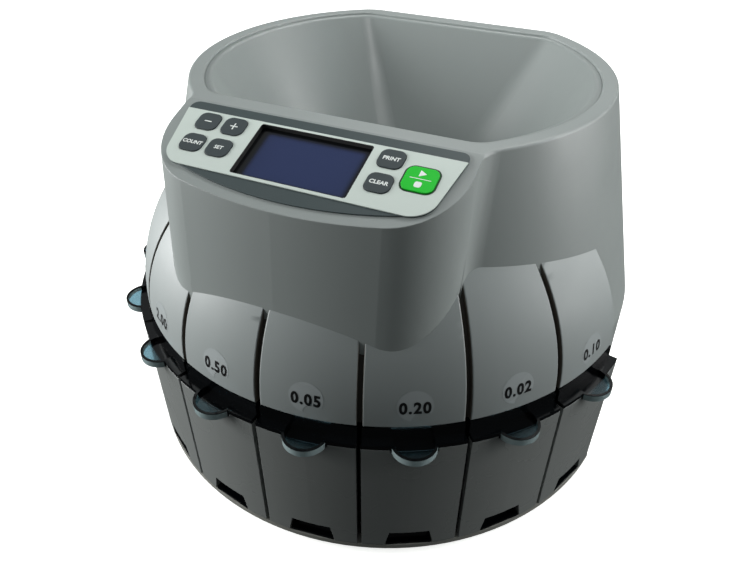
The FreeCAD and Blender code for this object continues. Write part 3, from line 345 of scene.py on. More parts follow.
@dataclass(frozen=True)
class DisplayGlass(Finish):
    """Liquid crystal display, switched off: navy in the middle with a black border that is partly printed
    and partly painted shade, wider and soft at the top and left.

    Attributes:
        border: Colour of the border, print and painted shade alike.
        centre: Middle of the navy field, in millimetres, a little right of and below the display's middle,
            so that the painted shade is wider at the top and left.
        half: Half the width and height of the navy field, in millimetres.
        fade: Width of the soft edge of painted shade between the two, in millimetres.
    """

    border: str = "07090B"
    centre: Triple = (1.2, -112.6, 229.6)
    half: Pair = (29.8, 17.3)
    fade: float = 4.2

    def surface(self, tree: Tree, shader: Node, place: Output) -> None:
        """Fade the navy field into its black border of print and painted shade.

        Args:
            tree: The material's node tree.
            shader: Its principled shader.
            place: Object coordinates.
        """
        super().surface(tree, shader, place)
        centre = [measure * MM for measure in self.centre]
        shift = node(tree, "VectorMath", {0: place, 1: centre}, operation="SUBTRACT")
        level = node(tree, "VectorRotate", {"Vector": shift, "Angle": -math.radians(PANEL_TILT)},
                     rotation_type="X_AXIS")
        spread = node(tree, "VectorMath", {0: level}, operation="ABSOLUTE")
        sides = node(tree, "SeparateXYZ", {"Vector": spread})
        shares = [node(tree, "MapRange", {"Value": sides.outputs[axis], "From Min": (half - self.fade) * MM,
                                          "From Max": half * MM, "To Min": 1.0, "To Max": 0.0},
                       interpolation_type="SMOOTHSTEP")
                  for axis, half in zip("XY", self.half)]
        # Painted shade: the soft black border, wider at the top and left, stands in for the recess's shadow.
        inside = node(tree, "Math", {0: shares[0], 1: shares[1]}, operation="MULTIPLY")
        blend = node(tree, "Mix", {SHARE: inside, FIRST: linear(self.border), SECOND: linear(self.colour)},
                     data_type="RGBA")
        feed(tree, shader, {"Base Color": blend})


# Moulded ABS with a spark-eroded skin: an even satin grey whose highlights are broad and soft.
HOUSING = Finish("abs_moulded_grey", "8F9694", 0.42, grain=0.55, depth=0.012, tint="868C8A", edge=0.8)
# The hopper's ABS, worn smooth by coins: the same grey, a little darker as painted shade inside the hopper.
FUNNEL = Finish("abs_worn_grey", "8A918F", 0.4, grain=0.55, depth=0.01, tint="818785", edge=0.8)
# ABS from a finer mould: a little lighter and duller than the housing, with painted shade on the walls of
# its grooves.
PETAL = PanelPlastic("abs_satin_grey", "939A99", 0.5, grain=0.8, depth=0.006, tint="8A9190")
# ABS from a polished mould: clear soft reflections that run down the fronts.
FRONT = Finish("abs_glossy_grey", "7F8381", 0.27, grain=0.9, depth=0.005, tint="757977", edge=0.6)
# Dyed polycarbonate, polished: a glossy near-black band with tabs that let blue-grey light through.
# The tabs' outer walls carry painted light: a pale colour for light scattered down through them.
SMOKED = SmokedPlastic("polycarbonate_smoked_blue", "040608", 0.12, ior=1.585, grain=2.5, depth=0.002,
                       mottle=0.02)
# Matte ABS of the liner, coloured a dark warm grey as painted shade: the floors of the grooves read as soft
# shadow lines.
LINER = Finish("abs_dark_liner", "3B3832", 0.7, grain=0.7, depth=0.01)
# Screen-printed polyester film: a pale green-grey with a fine satin grain.
OVERLAY = Finish("polyester_pale_film", "C7D2CB", 0.42, grain=0.35, depth=0.003, tint="BFCAC3", drift=0.3)
# The same film printed slate: a dark cool grey with the same satin sheen.
SLATE = Finish("polyester_slate_film", "3F4A4B", 0.42, grain=0.35, depth=0.003, tint="394344", edge=0.3)
# Silicone keys printed slate: matte with a faint bloom.
KEY = Finish("silicone_slate_key", "384143", 0.52, ior=1.41, grain=0.4, depth=0.004, tint="424B4D", edge=0.5)
# Silicone key dyed green: bright and matte, the one strong colour on the machine.
GREEN_KEY = Finish("silicone_green_key", "08BE24", 0.5, ior=1.41, grain=0.4, depth=0.004, tint="10C830",
                   edge=0.5)
# White screen ink on the keys and the rocker: crisp and matte.
WHITE_INK = Finish("screen_ink_white", "E6ECE8", 0.5, grain=0.25, depth=0.002)
# Black screen ink of the coin values: dense, with a low sheen.
BLACK_INK = Finish("screen_ink_black", "0A0A0A", 0.45, grain=0.25, depth=0.002)
# Dark green screen ink round the green key: a thin line that sets the key off from the film.
OUTLINE_INK = Finish("screen_ink_dark_green", "123A1C", 0.5, grain=0.25, depth=0.002)
# Clear vinyl stickers under the coin values: a patch that is lighter and glossier than the plastic below.
STICKER = Finish("vinyl_clear_sticker", "A6ADAD", 0.24, grain=1.2, depth=0.004, tint="9EA5A5")
# The display's glass with the dark cells behind it: smooth, with a dull sheen, and painted shade in its soft
# border.
DISPLAY = DisplayGlass("glass_navy_display", "253156", 0.2, ior=1.52, grain=0.5, depth=0.001, mottle=0.02)
# Fibreglass board with green lacquer: a deep green with a soft shine.
BOARD = Finish("fibreglass_green_board", "14532D", 0.35, grain=0.5, depth=0.004, tint="0F4324")
# Black ABS of small fittings: matte, with thin highlights along its edges.
BLACK = Finish("abs_matte_black", "141516", 0.5, grain=0.5, depth=0.008, edge=0.3)
# Nitrile rubber: deep black, dull.
RUBBER = Finish("nitrile_rubber_black", "1A1A1A", 0.75, grain=0.7, depth=0.02)
# Powder-coated steel sheet: mid grey with a faint orange peel.
POWDER = Finish("powder_coated_grey_steel", "8A8B85", 0.45, grain=1.4, depth=0.012, tint="7F807A", edge=0.5)
# Zinc-plated steel: cool grey with cloudy patches.
ZINC = Finish("zinc_plated_steel", "B9BCBB", 0.38, 1.0, grain=5.0, depth=0.004, mottle=0.12, tint="A7ACB0")
# Turned aluminium of the sorting deck: pale, with rings that catch the light.
DECK_METAL = TurnedMetal("aluminium_turned", "C9CBCD", 0.32, 1.0, depth=0.003, mottle=0.08)
# Ground steel of the feed disc, rail and shafts: a sharper gloss in finer rings.
STEEL = TurnedMetal("steel_ground", "B8B7B4", 0.26, 1.0, depth=0.002, mottle=0.07, pitch=1.3)
# Drawn brass of the contacts: bright and yellow.
BRASS = Finish("brass_drawn_contact", "D9B66A", 0.25, 1.0, grain=1.5, depth=0.003, mottle=0.05)
# Opal acrylic of the light table under the machine: an even white with no gloss.
LIGHT_TABLE = Finish("acrylic_opal_white", "F1F2F0", 0.8, grain=2.0, depth=0.01)


def deselect() -> None:
    """Deselect everything, so that the next step acts on nothing else."""
    bpy.ops.object.select_all(action="DESELECT")


def take(piece: Piece) -> None:
    """Select one piece alone and make it active.

    Args:
        piece: The piece.
    """
    deselect()
    piece.select_set(True)
    bpy.context.view_layer.objects.active = piece


def bake() -> None:
    """Leave the place, turn and scale of the piece in hand in its mesh."""
    bpy.ops.object.transform_apply(location=True, rotation=True, scale=True)


def settle(piece: Piece, place: Matrix) -> None:
    """Put a piece in its place and leave that place in its mesh.

    Args:
        piece: The piece, modelled about the origin.
        place: Where it goes.
    """
    take(piece)
    piece.matrix_world = place
    bake()


def middle_of(name: str) -> Vector:
    """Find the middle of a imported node's box."""
    low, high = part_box(name)
    return (low + high) / 2


def axes(across: Vector, facing: Vector) -> Matrix:
    """Build the turn that lays X across and Z along where a piece faces."""
    return Matrix((across, facing.cross(across), facing)).transposed().to_4x4()


def apply(piece: Piece) -> None:
    """Apply all modifiers of a piece.

    Args:
        piece: The piece.
    """
    take(piece)
    for modifier in list(piece.modifiers):
        bpy.ops.object.modifier_apply(modifier=modifier.name)


def cut(piece: Piece, tool: Piece) -> None:
    """Cut the shape of a tool out of a piece and put the tool away.

    Args:
        piece: The piece.
        tool: The tool, where it cuts.
    """
    taken = piece.modifiers.new("cut", "BOOLEAN")
    taken.object = tool
    taken.operation = "DIFFERENCE"
    taken.solver = "EXACT"
    apply(piece)
    bpy.data.objects.remove(tool)


def copy_of(master: Piece, name: str) -> Piece:
    """Copy a piece together with its mesh.

    Args:
        master: The piece.
        name: Name of the copy.

    Returns:
        The copy.
    """
    copy = master.copy()
    copy.data = master.data.copy()
    copy.name = name
    bpy.context.scene.collection.objects.link(copy)
    return copy


@contextmanager
def editing(piece: Piece, test: FaceTest | None = None) -> Iterator[None]:
    """Hold a piece in edit mode, with the faces selected that pass a test.

    Args:
        piece: The piece.
        test: Whether a face is wanted. Without a test, all are.

    Yields:
        Nothing, while the piece is in edit mode.
    """
    take(piece)
    bpy.ops.object.mode_set(mode="EDIT")
    bpy.ops.mesh.select_mode(type="FACE")
    bpy.ops.mesh.select_all(action="DESELECT" if test else "SELECT")
    if test:
        bpy.ops.object.mode_set(mode="OBJECT")
        for face in piece.data.polygons:
            face.select = test(face)
        bpy.ops.object.mode_set(mode="EDIT")
    yield
    bpy.ops.object.mode_set(mode="OBJECT")


def soften(piece: Piece, corner: float, steps: int) -> None:
    """Cut back the corners of a flat piece by a length in metres, in straight steps."""
    with editing(piece):
        bpy.ops.mesh.bevel(offset=corner, segments=steps, affect="VERTICES")


def plate(name: str, size: Pair, middle: Pair, corner: float, steps: int) -> Piece:
    """Cut a flat rectangle with rounded corners.

    Args:
        name: Name of the piece.
        size: Its width and height, in metres.
        middle: Its middle.
        corner: How far a corner is cut back.
        steps: Straight steps in each corner.

    Returns:
        The flat piece.
    """
    deselect()
    bpy.ops.mesh.primitive_plane_add(size=1, location=(*middle, 0))
    piece = bpy.context.object
    piece.name = name
    piece.scale = (*size, 1)
    bake()
    soften(piece, corner, steps)
    return piece


def hollow(piece: Piece, wall: float) -> None:
    """Leave only the rim of a flat piece.

    Args:
        piece: The piece.
        wall: Width of the rim, in metres.
    """
    with editing(piece):
        bpy.ops.mesh.inset(thickness=wall, depth=0)
        bpy.ops.mesh.delete(type="FACE")


def words(name: str, text: str, height: float, bold: float, narrow: float = 1.0,
          spacing: float = 1.0) -> Piece:
    """Set a line of type as a flat mesh about the origin.

    Args:
        name: Name of the piece.
        text: The line.
        height: Size of the type, in metres.
        bold: How far the strokes are thickened.
        narrow: Width of the letters, as a share of their usual width.
        spacing: Distance from letter to letter, as a share of the usual one.

    Returns:
        The mesh, in the plane of X and Y.
    """
    deselect()
    bpy.ops.object.text_add()
    line = bpy.context.object
    line.data.body = text
    line.data.align_x = "CENTER"
    line.data.align_y = "CENTER"
    line.data.size = height
    line.data.offset = bold
    line.data.resolution_u = 4
    line.data.space_character = spacing
    line.scale = (narrow, 1, 1)
    bpy.ops.object.convert(target="MESH")
    line = bpy.context.object
    line.name = name
    bake()
    return line


def join(name: str, parts: Sequence[Piece]) -> Piece:
    """Join parts into one piece.

    Args:
        name: Name of the piece.
        parts: The parts.

    Returns:
        The joined piece.
    """
    take(parts[0])
    for part in parts[1:]:
        part.select_set(True)
    bpy.ops.object.join()
    joined = bpy.context.object
    joined.name = name
    return joined


def complete(piece: Piece, finish: Finish, body: str = Body.CHASSIS.value) -> None:
    """Shade a piece, give it its finish and let it ride.

    Args:
        piece: The finished mesh.
        finish: Its material.
        body: The body that carries it.
    """
    take(piece)
    bpy.ops.object.shade_smooth_by_angle(angle=math.radians(SHARP_ANGLE))
    piece.data.materials.clear()
    piece.data.materials.append(finish.build())
    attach(piece, body)
    log.info("made %s on %s", piece.name, body)


def dress(finishes: dict[str, Finish]) -> None:
    """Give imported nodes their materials.

    Args:
        finishes: Node names with their finish.
    """
    for name, finish in finishes.items():
        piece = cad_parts[name]
        piece.data.materials.clear()
        piece.data.materials.append(finish.build())
        log.info("dressed %s in %s", name, finish.name)


@dataclass(frozen=True)
class SoftBox:
    """A lamp with a rectangular face.

    Attributes:
        name: Name of the lamp.
        spot: Its place, in metres.
        aim: The point that it faces.
        size: Width and height of its face.
        power: Its power, in watts.
        spread: Angle that its light fans out to, in degrees.
    """

    name: str
    spot: Triple
    aim: Triple
    size: Pair
    power: float
    spread: float = 180.0

    def hang(self) -> None:
        """Add the lamp to the scene."""
        data = bpy.data.lights.new(self.name, "AREA")
        data.shape = "RECTANGLE"
        data.size, data.size_y = self.size
        data.energy = self.power
        data.spread = math.radians(self.spread)
        lamp = bpy.data.objects.new(self.name, data)
        bpy.context.scene.collection.objects.link(lamp)
        lamp.location = self.spot
        lamp.rotation_mode = "QUATERNION"
        lamp.rotation_quaternion = (Vector(self.aim) - Vector(self.spot)).to_track_quat("-Z", "Y")


@dataclass
class Studio:
    """Camera, floor and soft light.

    Attributes:
        azimuth: Camera's turn round the machine, in degrees.
        elevation: Its height over the horizon, in degrees.
        roll: Its roll, in degrees.
        distance: From the camera to the ring's middle along the view, in metres.
        aside: Ring's middle to the right of and above the view's middle, in metres.
        lens: Focal length on the sensor's width, in millimetres.
        sensor: Width of the sensor, in millimetres.
        nearest: Distance at which the camera begins to see, in metres.
        floor_radius: Radius of the floor, in metres.
        floor_glow: Strength of the light from under the floor.
        lamps: Boxes on both sides and above the back, and a weak narrow beam into the hopper.
        air_colour: Colour of the light from all round.
        air_heights: Rise of a direction where that light is weakest and where it is strongest.
        air_strengths: Its strength at these two.
    """

    azimuth: float = 23.96
    elevation: float = 35.84
    roll: float = 0.6
    distance: float = 0.498
    aside: Pair = (0.00863, 0.020)
    lens: float = 33.23
    sensor: float = 36.0
    nearest: float = 0.01
    floor_radius: float = 6.0
    floor_glow: float = 0.85
    lamps: tuple[SoftBox, ...] = (
        SoftBox("left_box", (-1.36, -0.45, 0.44), (0, 0, 0.12), (1.0, 0.8), 35.0),
        SoftBox("right_box", (1.27, 0.50, 0.55), (0, 0, 0.12), (0.9, 1.0), 17.5),
        SoftBox("back_box", (0.15, 0.95, 1.45), (0, 0, 0.2), (1.4, 0.36), 14.0),
        SoftBox("hopper_beam", (0.12, -0.55, 0.95), (0, 0.09, 0.24), (0.16, 0.10), 0.06, spread=25.0),
    )
    air_colour: str = "E9EEF0"
    air_heights: Pair = (-0.05, 0.85)
    air_strengths: Pair = (0.02, 0.36)

    def camera(self) -> None:
        """Set the camera at the photograph's point of view."""
        turn, rise, roll = (math.radians(angle) for angle in (self.azimuth, self.elevation, self.roll))
        back = Vector((math.sin(turn) * math.cos(rise), -math.cos(turn) * math.cos(rise), math.sin(rise)))
        flat = Vector((math.cos(turn), math.sin(turn), 0))
        tall = back.cross(flat)
        right = math.cos(roll) * flat + math.sin(roll) * tall
        up = math.cos(roll) * tall - math.sin(roll) * flat
        middle = Vector((0, 0, HOOD_HEIGHT))
        data = bpy.data.cameras.new("photo_camera")
        data.lens = self.lens
        data.sensor_width = self.sensor
        data.sensor_fit = "HORIZONTAL"
        data.clip_start = self.nearest
        camera = bpy.data.objects.new("photo_camera", data)
        bpy.context.scene.collection.objects.link(camera)
        camera.matrix_world = Matrix((right, up, back)).transposed().to_4x4()
        camera.location = middle - self.aside[0] * right - self.aside[1] * up + self.distance * back
        bpy.context.scene.camera = camera

    def floor(self) -> None:
        """Lay a plain pale light table that throws no light back on the machine."""
        deselect()
        bpy.ops.mesh.primitive_circle_add(vertices=96, radius=self.floor_radius, fill_type="NGON")
        floor = bpy.context.object
        floor.name = "studio_floor"
        table = LIGHT_TABLE.build()
        shader = table.node_tree.nodes["Principled BSDF"]
        feed(table.node_tree, shader, {"Emission Color": linear(LIGHT_TABLE.colour),
                                       "Emission Strength": self.floor_glow})
        floor.data.materials.append(table)
        floor.visible_diffuse = False
        floor.visible_glossy = False

    def air(self) -> None:
        """Fill the air with pale light that grows upwards, before a backdrop as pale as the floor."""
        world = bpy.data.worlds.new("studio_air")
        world.use_nodes = True
        tree = world.node_tree
        way = node(tree, "TexCoord").outputs["Generated"]
        height = node(tree, "SeparateXYZ", {"Vector": way}).outputs["Z"]
        strength = node(tree, "MapRange", {
            "Value": height, "From Min": self.air_heights[0], "From Max": self.air_heights[1],
            "To Min": self.air_strengths[0], "To Max": self.air_strengths[1]})
        air = node(tree, "Background", {"Color": linear(self.air_colour), "Strength": strength})
        backdrop = node(tree, "Background", {"Color": linear(LIGHT_TABLE.colour)})
        seen = node(tree, "LightPath").outputs["Is Camera Ray"]
        both = node(tree, "MixShader", {0: seen, 1: air, 2: backdrop})
        feed(tree, tree.nodes["World Output"], {"Surface": both})
        bpy.context.scene.world = world

    def build(self) -> None:
        """Set up the whole studio."""
        self.camera()
        self.floor()
        for lamp in self.lamps:
            lamp.hang()
        self.air()
        bpy.context.scene.view_settings.view_transform = "Standard"


@dataclass
class Housing:
    """The moulded housing, its hopper and the service cover at the back.

    Attributes:
        screw_spots: Screws of the cover, across and up from its middle, in metres.
        screw_radius: Radius of a screw's head. The sizes that follow are shares of it.
        head_height: Height of a head's side, half of it sunk in the cover.
        crown: Width of the slope round its crown, and the crown's height.
        recess: Length, width and depth of an arm of the crossed recess.
        recess_rise: Height of the arm's middle over the head's.
    """

    screw_spots: tuple[Pair, ...] = ((-0.066, 0.037), (0.066, 0.037), (-0.066, -0.004), (0.066, -0.004))
    screw_radius: float = 0.0034
    head_height: float = 0.6
    crown: Pair = (0.25, 0.12)
    recess: Triple = (1.1, 0.26, 0.7)
    recess_rise: float = 0.42

    def screw(self) -> Piece:
        """Model a pan-head screw with a crossed recess, facing up.

        Returns:
            The screw about the origin.
        """
        radius = self.screw_radius
        deselect()
        bpy.ops.mesh.primitive_cylinder_add(vertices=32, radius=radius, depth=radius * self.head_height)
        head = bpy.context.object
        with editing(head, lambda face: face.normal.z > LOOKS_UP):
            bpy.ops.mesh.inset(thickness=radius * self.crown[0], depth=radius * self.crown[1])
        for turn in (0, math.pi / 2):
            deselect()
            rise = radius * self.recess_rise
            bpy.ops.mesh.primitive_cube_add(size=1, location=(0, 0, rise), rotation=(0, 0, turn))
            blade = bpy.context.object
            blade.scale = [radius * share for share in self.recess]
            cut(head, blade)
        return head

    def screws(self) -> None:
        """Fasten the cover with four screws in its outer face."""
        middle = middle_of("rear_cover")
        middle.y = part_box("rear_cover")[1].y
        master = self.screw()
        for number, (across, up) in enumerate(self.screw_spots, 1):
            screw = copy_of(master, f"cover_screw_{number}")
            spot = middle + Vector((across, 0, up))
            settle(screw, Matrix.Translation(spot) @ OUT_OF_BACK)
            complete(screw, ZINC)
        bpy.data.objects.remove(master)

    def build(self) -> None:
        """Dress the shells and add their fasteners."""
        dress({"upper_housing": HOUSING, "hopper_funnel": FUNNEL, "rear_cover": HOUSING})
        self.screws()


@dataclass
class Hood:
    """The domed panels over the drawers, with a value sticker on each.

    Attributes:
        label_rise: Height of the stickers' middle over the hood's lower edge, in metres.
        sticker_radius: Radius of a sticker.
        bite_radius: Radius of the scoop out of its lower right edge.
        bite_spot: The scoop's middle, across and up, as shares of the sticker's radius.
        blank: Thickness of the blank that a sticker is cut from.
        slices: Cuts each way that let a sticker follow the panel.
        type_height: Size of the numerals.
        type_bold: How far their strokes are thickened, as a share of that.
        type_narrow: Their width, as a share of the usual one.
        type_spacing: Distance between them, as a share of the usual one.
        type_drop: How far they sit under the sticker's middle.
        lift: How far a sticker stands off the panel, and the figures off the sticker.
        hover: Height from which prints are laid down on the panel.
    """

    label_rise: float = 0.0142
    sticker_radius: float = 0.0098
    bite_radius: float = 0.0062
    bite_spot: Pair = (0.45, -1.0)
    blank: float = 0.001
    slices: int = 9
    type_height: float = 0.0099
    type_bold: float = 0.04
    type_narrow: float = 0.86
    type_spacing: float = 1.17
    type_drop: float = 0.0012
    lift: float = 0.00008
    hover: float = 0.003

    def place(self, turn: float) -> Matrix:
        """Find where a sticker lies on its panel.

        Args:
            turn: The bay's turn from the front, in degrees.

        Returns:
            A place with X to the viewer's right, Y up the panel and Z out of it.
        """
        angle = math.radians(turn)
        out = Vector((math.sin(angle), -math.cos(angle), 0))
        across = Vector((math.cos(angle), math.sin(angle), 0))
        start = out * RAY_START + Vector((0, 0, HOOD_HEIGHT + self.label_rise))
        _, spot, facing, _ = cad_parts["petal_panels"].ray_cast(start, -out)
        facing = (facing - facing.dot(across) * across).normalized()
        return Matrix.Translation(spot) @ axes(across, facing)

    def lay(self, piece: Piece, place: Matrix, lift: float) -> None:
        """Lay a flat piece on the curved panel.

        Args:
            piece: The flat piece about the origin.
            place: Where it goes.
            lift: How far it stands off the panel.
        """
        piece.matrix_world = place @ Matrix.Translation((0, 0, self.hover))
        wrap = piece.modifiers.new("lay", "SHRINKWRAP")
        wrap.wrap_method = "PROJECT"
        wrap.use_project_z = True
        wrap.use_negative_direction = True
        wrap.use_positive_direction = False
        wrap.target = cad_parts["petal_panels"]
        wrap.offset = lift
        apply(piece)
        bake()

    def sticker(self) -> Piece:
        """Cut a round sticker with a scoop at its lower right.

        Returns:
            The flat sticker about the origin.
        """
        radius = self.sticker_radius
        deselect()
        bpy.ops.mesh.primitive_cylinder_add(vertices=72, radius=radius, depth=self.blank)
        sticker = bpy.context.object
        deselect()
        spot = [radius * share for share in self.bite_spot]
        bpy.ops.mesh.primitive_cylinder_add(vertices=48, radius=self.bite_radius,
                                            depth=self.blank * 4, location=(*spot, 0))
        cut(sticker, bpy.context.object)
        with editing(sticker, lambda face: face.normal.z < LOOKS_UP):
            bpy.ops.mesh.delete(type="FACE")
            for number in range(self.slices):
                along = radius * (number - (self.slices - 1) / 2) / (self.slices / 2)
                for side in (Vector((1, 0, 0)), Vector((0, 1, 0))):
                    bpy.ops.mesh.select_all(action="SELECT")
                    bpy.ops.mesh.bisect(plane_co=along * side, plane_no=side)
        return sticker

    def labels(self) -> None:
        """Put a sticker and its value on each panel."""
        master = self.sticker()
        for number, (turn, value) in enumerate(zip(BAY_TURNS, BAY_VALUES), 1):
            place = self.place(turn)
            sticker = copy_of(master, f"value_sticker_{number}")
            self.lay(sticker, place, self.lift)
            complete(sticker, STICKER)
            figures = words(f"value_figures_{number}", value, self.type_height,
                            self.type_height * self.type_bold, self.type_narrow, self.type_spacing)
            self.lay(figures, place @ Matrix.Translation((0, -self.type_drop, 0)), self.lift * 2)
            complete(figures, BLACK_INK)
        bpy.data.objects.remove(master)

    def build(self) -> None:
        """Dress the hood and label it."""
        dress({"petal_panels": PETAL, "hood_liner": LINER})
        self.labels()


@dataclass
class Drawers:
    """Smoked coin cups behind glossy grey fronts, and the pan that they slide on.

    Attributes:
        count: Number of drawers.
    """

    count: int = len(BAY_VALUES)

    def build(self) -> None:
        """Dress each drawer and what carries it."""
        for number in range(1, self.count + 1):
            dress({f"coin_cup_{number}": SMOKED, f"drawer_front_{number}": FRONT})
        dress({"bay_dividers": BLACK, "base_pan": POWDER, "rubber_feet": RUBBER})


class Mark(str, Enum):
    """What is printed on a key."""

    MINUS = "minus"
    PLUS = "plus"
    WORD = "word"
    START = "start"


@dataclass(frozen=True)
class KeyPrint:
    """A key and what is printed on it.

    Attributes:
        node: The key's node.
        body: The body that it moves with.
        spot: Its middle on the panel, across and up, in metres.
        mark: What kind of print it has.
        text: The word, where it has one.
    """

    node: str
    body: str
    spot: Pair
    mark: Mark
    text: str = ""


@dataclass
class Console:
    """The sloped control panel, with its sizes in metres.

    Attributes:
        middle: Middle of the panel.
        film_top: Height of the printed film over the panel's frame.
        key_top: Height of the keys over it.
        print_lift: How far prints stand off what they are printed on.
        display_top: Height of the display, which lies sunk in its opening.
        opening: Width and height of the display's opening.
        opening_corner: How far its corners are rounded.
        gasket_wall: Thickness of the gasket that lines it.
        stroke: Width of the lines of a minus, a plus and the outline round the green key.
        minus_width: Width of the minus.
        plus_width: Width and height of the plus.
        word_height: Size of the words.
        word_bold: How far their strokes are thickened.
        arrow_radius: Radius of the green key's triangle.
        arrow_spot: Its middle on the key.
        rule: Width and height of the green key's rule.
        rule_spot: Its middle.
        square: Width and height of the green key's square.
        square_spot: Its middle.
        bar_corner: How far a bar's corners are rounded, as a share of its lesser side.
        arrow_corner: How far the triangle's corners are rounded, as a share of its radius.
        outline: Width and height of the outline round the green key.
        outline_corner: How far its corners are rounded.
        keys: The keys.
    """

    middle: Triple = (0.0, -0.1116, 0.230)
    film_top: float = 0.0013
    key_top: float = 0.0018
    print_lift: float = 0.00005
    display_top: float = -0.0030
    opening: Pair = (0.0645, 0.0360)
    opening_corner: float = 0.0015
    gasket_wall: float = 0.0002
    stroke: float = 0.0007
    minus_width: float = 0.0044
    plus_width: float = 0.0046
    word_height: float = 0.0033
    word_bold: float = 0.0001
    arrow_radius: float = 0.0024
    arrow_spot: Pair = (-0.0003, 0.0036)
    rule: Pair = (0.0108, 0.0004)
    rule_spot: Pair = (0.0, 0.0002)
    square: Pair = (0.0036, 0.0036)
    square_spot: Pair = (0.0, -0.0034)
    bar_corner: float = 0.3
    arrow_corner: float = 0.12
    outline: Pair = (0.0184, 0.0172)
    outline_corner: float = 0.0050
    keys: tuple[KeyPrint, ...] = (
        KeyPrint("key_minus", "minus_key", (-0.0624, 0.0117), Mark.MINUS),
        KeyPrint("key_plus", "plus_key", (-0.0462, 0.0117), Mark.PLUS),
        KeyPrint("key_count", "count_key", (-0.0624, -0.0045), Mark.WORD, "COUNT"),
        KeyPrint("key_setup", "setup_key", (-0.0462, -0.0045), Mark.WORD, "SET"),
        KeyPrint("key_report", "report_key", (0.0438, 0.0117), Mark.WORD, "PRINT"),
        KeyPrint("key_clear", "clear_key", (0.0438, -0.0045), Mark.WORD, "CLEAR"),
        KeyPrint("key_start", "start_key", (0.0621, 0.0027), Mark.START),
    )

    def place(self, spot: Pair, rise: float) -> Matrix:
        """Find the place of a spot on the panel, at a rise over it, with Z out of the panel."""
        slope = Matrix.Rotation(math.radians(PANEL_TILT), 4, "X")
        return Matrix.Translation(self.middle) @ slope @ Matrix.Translation((*spot, rise))

    def bar(self, name: str, size: Pair, middle: Pair = (0, 0)) -> Piece:
        """Print a bar of a width and a height, with softened corners."""
        return plate(name, size, middle, min(size) * self.bar_corner, steps=3)

    def arrow(self, name: str) -> Piece:
        """Print a triangle that points right.

        Args:
            name: Name of the piece.

        Returns:
            The flat triangle.
        """
        deselect()
        bpy.ops.mesh.primitive_circle_add(vertices=3, radius=self.arrow_radius, fill_type="NGON",
                                          location=(*self.arrow_spot, 0), rotation=(0, 0, -math.pi / 2))
        arrow = bpy.context.object
        arrow.name = name
        bake()
        soften(arrow, self.arrow_radius * self.arrow_corner, steps=2)
        return arrow

    def print_for(self, key: KeyPrint) -> Piece:
        """Make what is printed on a key.

        Args:
            key: The key.

        Returns:
            The flat print about the origin.
        """
        name = f"{key.node}_print"
        if key.mark is Mark.MINUS:
            return self.bar(name, (self.minus_width, self.stroke))
        if key.mark is Mark.PLUS:
            return join(name, [self.bar("plus_across", (self.plus_width, self.stroke)),
                               self.bar("plus_upright", (self.stroke, self.plus_width))])
        if key.mark is Mark.START:
            return join(name, [self.arrow("start_arrow"), self.bar("start_rule", self.rule, self.rule_spot),
                               self.bar("stop_square", self.square, self.square_spot)])
        return words(name, key.text, self.word_height, self.word_bold)

    def start_outline(self) -> None:
        """Print the dark outline round the green key."""
        start = next(key for key in self.keys if key.mark is Mark.START)
        ring = plate("start_outline", self.outline, (0, 0), self.outline_corner, steps=8)
        hollow(ring, self.stroke)
        settle(ring, self.place(start.spot, self.film_top + self.print_lift))
        complete(ring, OUTLINE_INK)

    def gasket(self) -> None:
        """Line the display's opening with a thin gasket, from the display up to the film."""
        gasket = plate("display_gasket", self.opening, (0, 0), self.opening_corner, steps=6)
        hollow(gasket, self.gasket_wall)
        height = self.film_top - self.display_top
        with editing(gasket):
            bpy.ops.mesh.extrude_region_move(TRANSFORM_OT_translate={"value": (0, 0, height)})
            bpy.ops.mesh.select_all(action="SELECT")
            bpy.ops.mesh.normals_make_consistent(inside=False)
        settle(gasket, self.place((0, 0), self.display_top))
        complete(gasket, RUBBER)

    def build(self) -> None:
        """Dress the panel, seal its display and print its keys."""
        dress({"panel_plate": SLATE, "panel_overlay": OVERLAY, "display_window": DISPLAY,
               "lcd_module": BLACK, "control_board": BOARD, "key_switches": BLACK})
        for key in self.keys:
            dress({key.node: GREEN_KEY if key.mark is Mark.START else KEY})
            mark = self.print_for(key)
            settle(mark, self.place(key.spot, self.key_top + self.print_lift))
            complete(mark, WHITE_INK, key.body)
        self.start_outline()
        self.gasket()


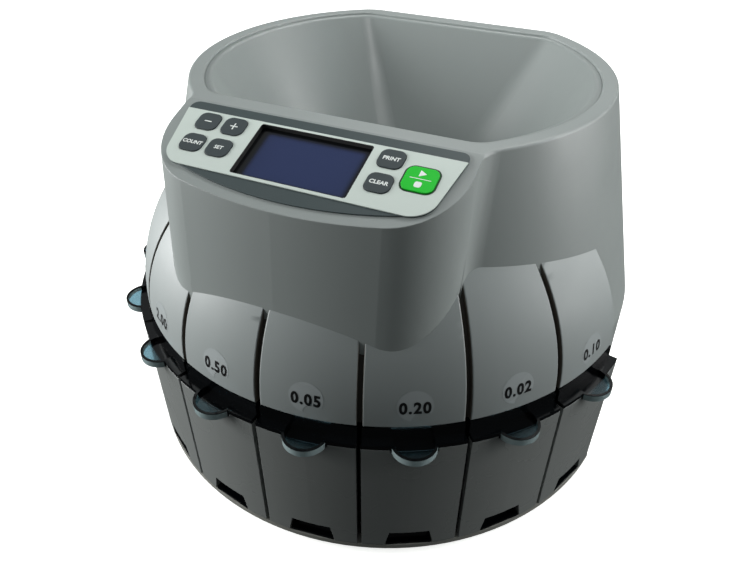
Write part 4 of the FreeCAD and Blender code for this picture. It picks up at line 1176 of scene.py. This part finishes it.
@dataclass
class Mechanism:
    """Deck, feed disc, drive and the fittings at the back, with sizes in metres.

    Attributes:
        mark_rise: Distance of the mains rocker's marks from its middle.
        mark_height: Size of the marks.
        mark_bold: How far their strokes are thickened.
        mark_lift: How far they stand off the rocker.
        pin_rows: Number of contact pins in each row of the data socket, from the top.
        pin_pitch: Distance from pin to pin and from row to row.
        pin_radius: Radius of a pin.
        pin_length: Length of its straight part.
        pin_tip: Width of its tip, as a share of the pin's.
    """

    mark_rise: float = 0.0040
    mark_height: float = 0.0050
    mark_bold: float = 0.00012
    mark_lift: float = 0.00006
    pin_rows: tuple[int, ...] = (5, 4)
    pin_pitch: Pair = (0.00277, 0.00284)
    pin_radius: float = 0.0005
    pin_length: float = 0.0082
    pin_tip: float = 0.4

    def rocker_marks(self) -> None:
        """Print the marks for on and off on the mains rocker."""
        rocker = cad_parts["power_rocker"]
        across = Vector((-1, 0, 0))
        middle = middle_of("switch_frame")
        for name, text, rise in (("rocker_on_mark", "I", self.mark_rise),
                                 ("rocker_off_mark", "O", -self.mark_rise)):
            start = Vector((middle.x, RAY_START, middle.z + rise))
            _, spot, facing, _ = rocker.ray_cast(start, INTO_BACK)
            place = Matrix.Translation(spot + facing * self.mark_lift) @ axes(across, facing)
            mark = words(name, text, self.mark_height, self.mark_bold)
            settle(mark, place)
            complete(mark, WHITE_INK, Body.ROCKER.value)

    def pin(self) -> Piece:
        """Model a contact pin that stands on the origin and tapers at its tip.

        Returns:
            The pin.
        """
        deselect()
        bpy.ops.mesh.primitive_cylinder_add(vertices=16, radius=self.pin_radius,
                                            depth=self.pin_length, location=(0, 0, self.pin_length / 2))
        pin = bpy.context.object
        bake()
        with editing(pin, lambda face: face.normal.z > LOOKS_UP):
            bpy.ops.mesh.extrude_region_move(TRANSFORM_OT_translate={"value": (0, 0, self.pin_radius)})
            bpy.ops.transform.resize(value=(self.pin_tip, self.pin_tip, 1))
        return pin

    def port_pins(self) -> None:
        """Set staggered rows of contact pins on the floor of the data socket."""
        middle = middle_of("data_port")
        start = Vector((middle.x, RAY_START, middle.z))
        _, floor, _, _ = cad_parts["data_port"].ray_cast(start, INTO_BACK)
        master = self.pin()
        pins = []
        for row, count in enumerate(self.pin_rows):
            up = ((len(self.pin_rows) - 1) / 2 - row) * self.pin_pitch[1]
            for column in range(count):
                across = (column - (count - 1) / 2) * self.pin_pitch[0]
                pin = copy_of(master, f"pin_{row}_{column}")
                spot = floor + Vector((across, 0, up))
                settle(pin, Matrix.Translation(spot) @ OUT_OF_BACK)
                pins.append(pin)
        bpy.data.objects.remove(master)
        complete(join("data_port_pins", pins), BRASS)

    def build(self) -> None:
        """Dress the inner pieces and the rear fittings, print the rocker and set the pins."""
        dress({"sorting_deck": DECK_METAL, "coin_sensors": BLACK, "coin_rail": STEEL, "deck_posts": ZINC,
               "feed_disc": STEEL, "disc_cap": BLACK, "spindle": STEEL, "bearing_carrier": DECK_METAL,
               "spindle_bearings": STEEL, "spindle_pulley": BLACK, "motor_pulley": BLACK,
               "drive_belt": RUBBER, "drive_motor": ZINC, "motor_shaft": STEEL, "motor_bracket": ZINC,
               "power_inlet": BLACK, "inlet_blades": BRASS, "switch_frame": BLACK, "power_rocker": BLACK,
               "data_port": BLACK, "power_supply": BLACK})
        self.rocker_marks()
        self.port_pins()


def main() -> None:
    """Build the studio and dress the machine, sub-assembly by sub-assembly."""
    logging.basicConfig(level=logging.INFO, format="%(name)s: %(message)s")
    Studio().build()
    for assembly in (Housing(), Hood(), Drawers(), Console(), Mechanism()):
        log.info("building %s", type(assembly).__name__)
        assembly.build()


if __name__ == "__main__":
    main()
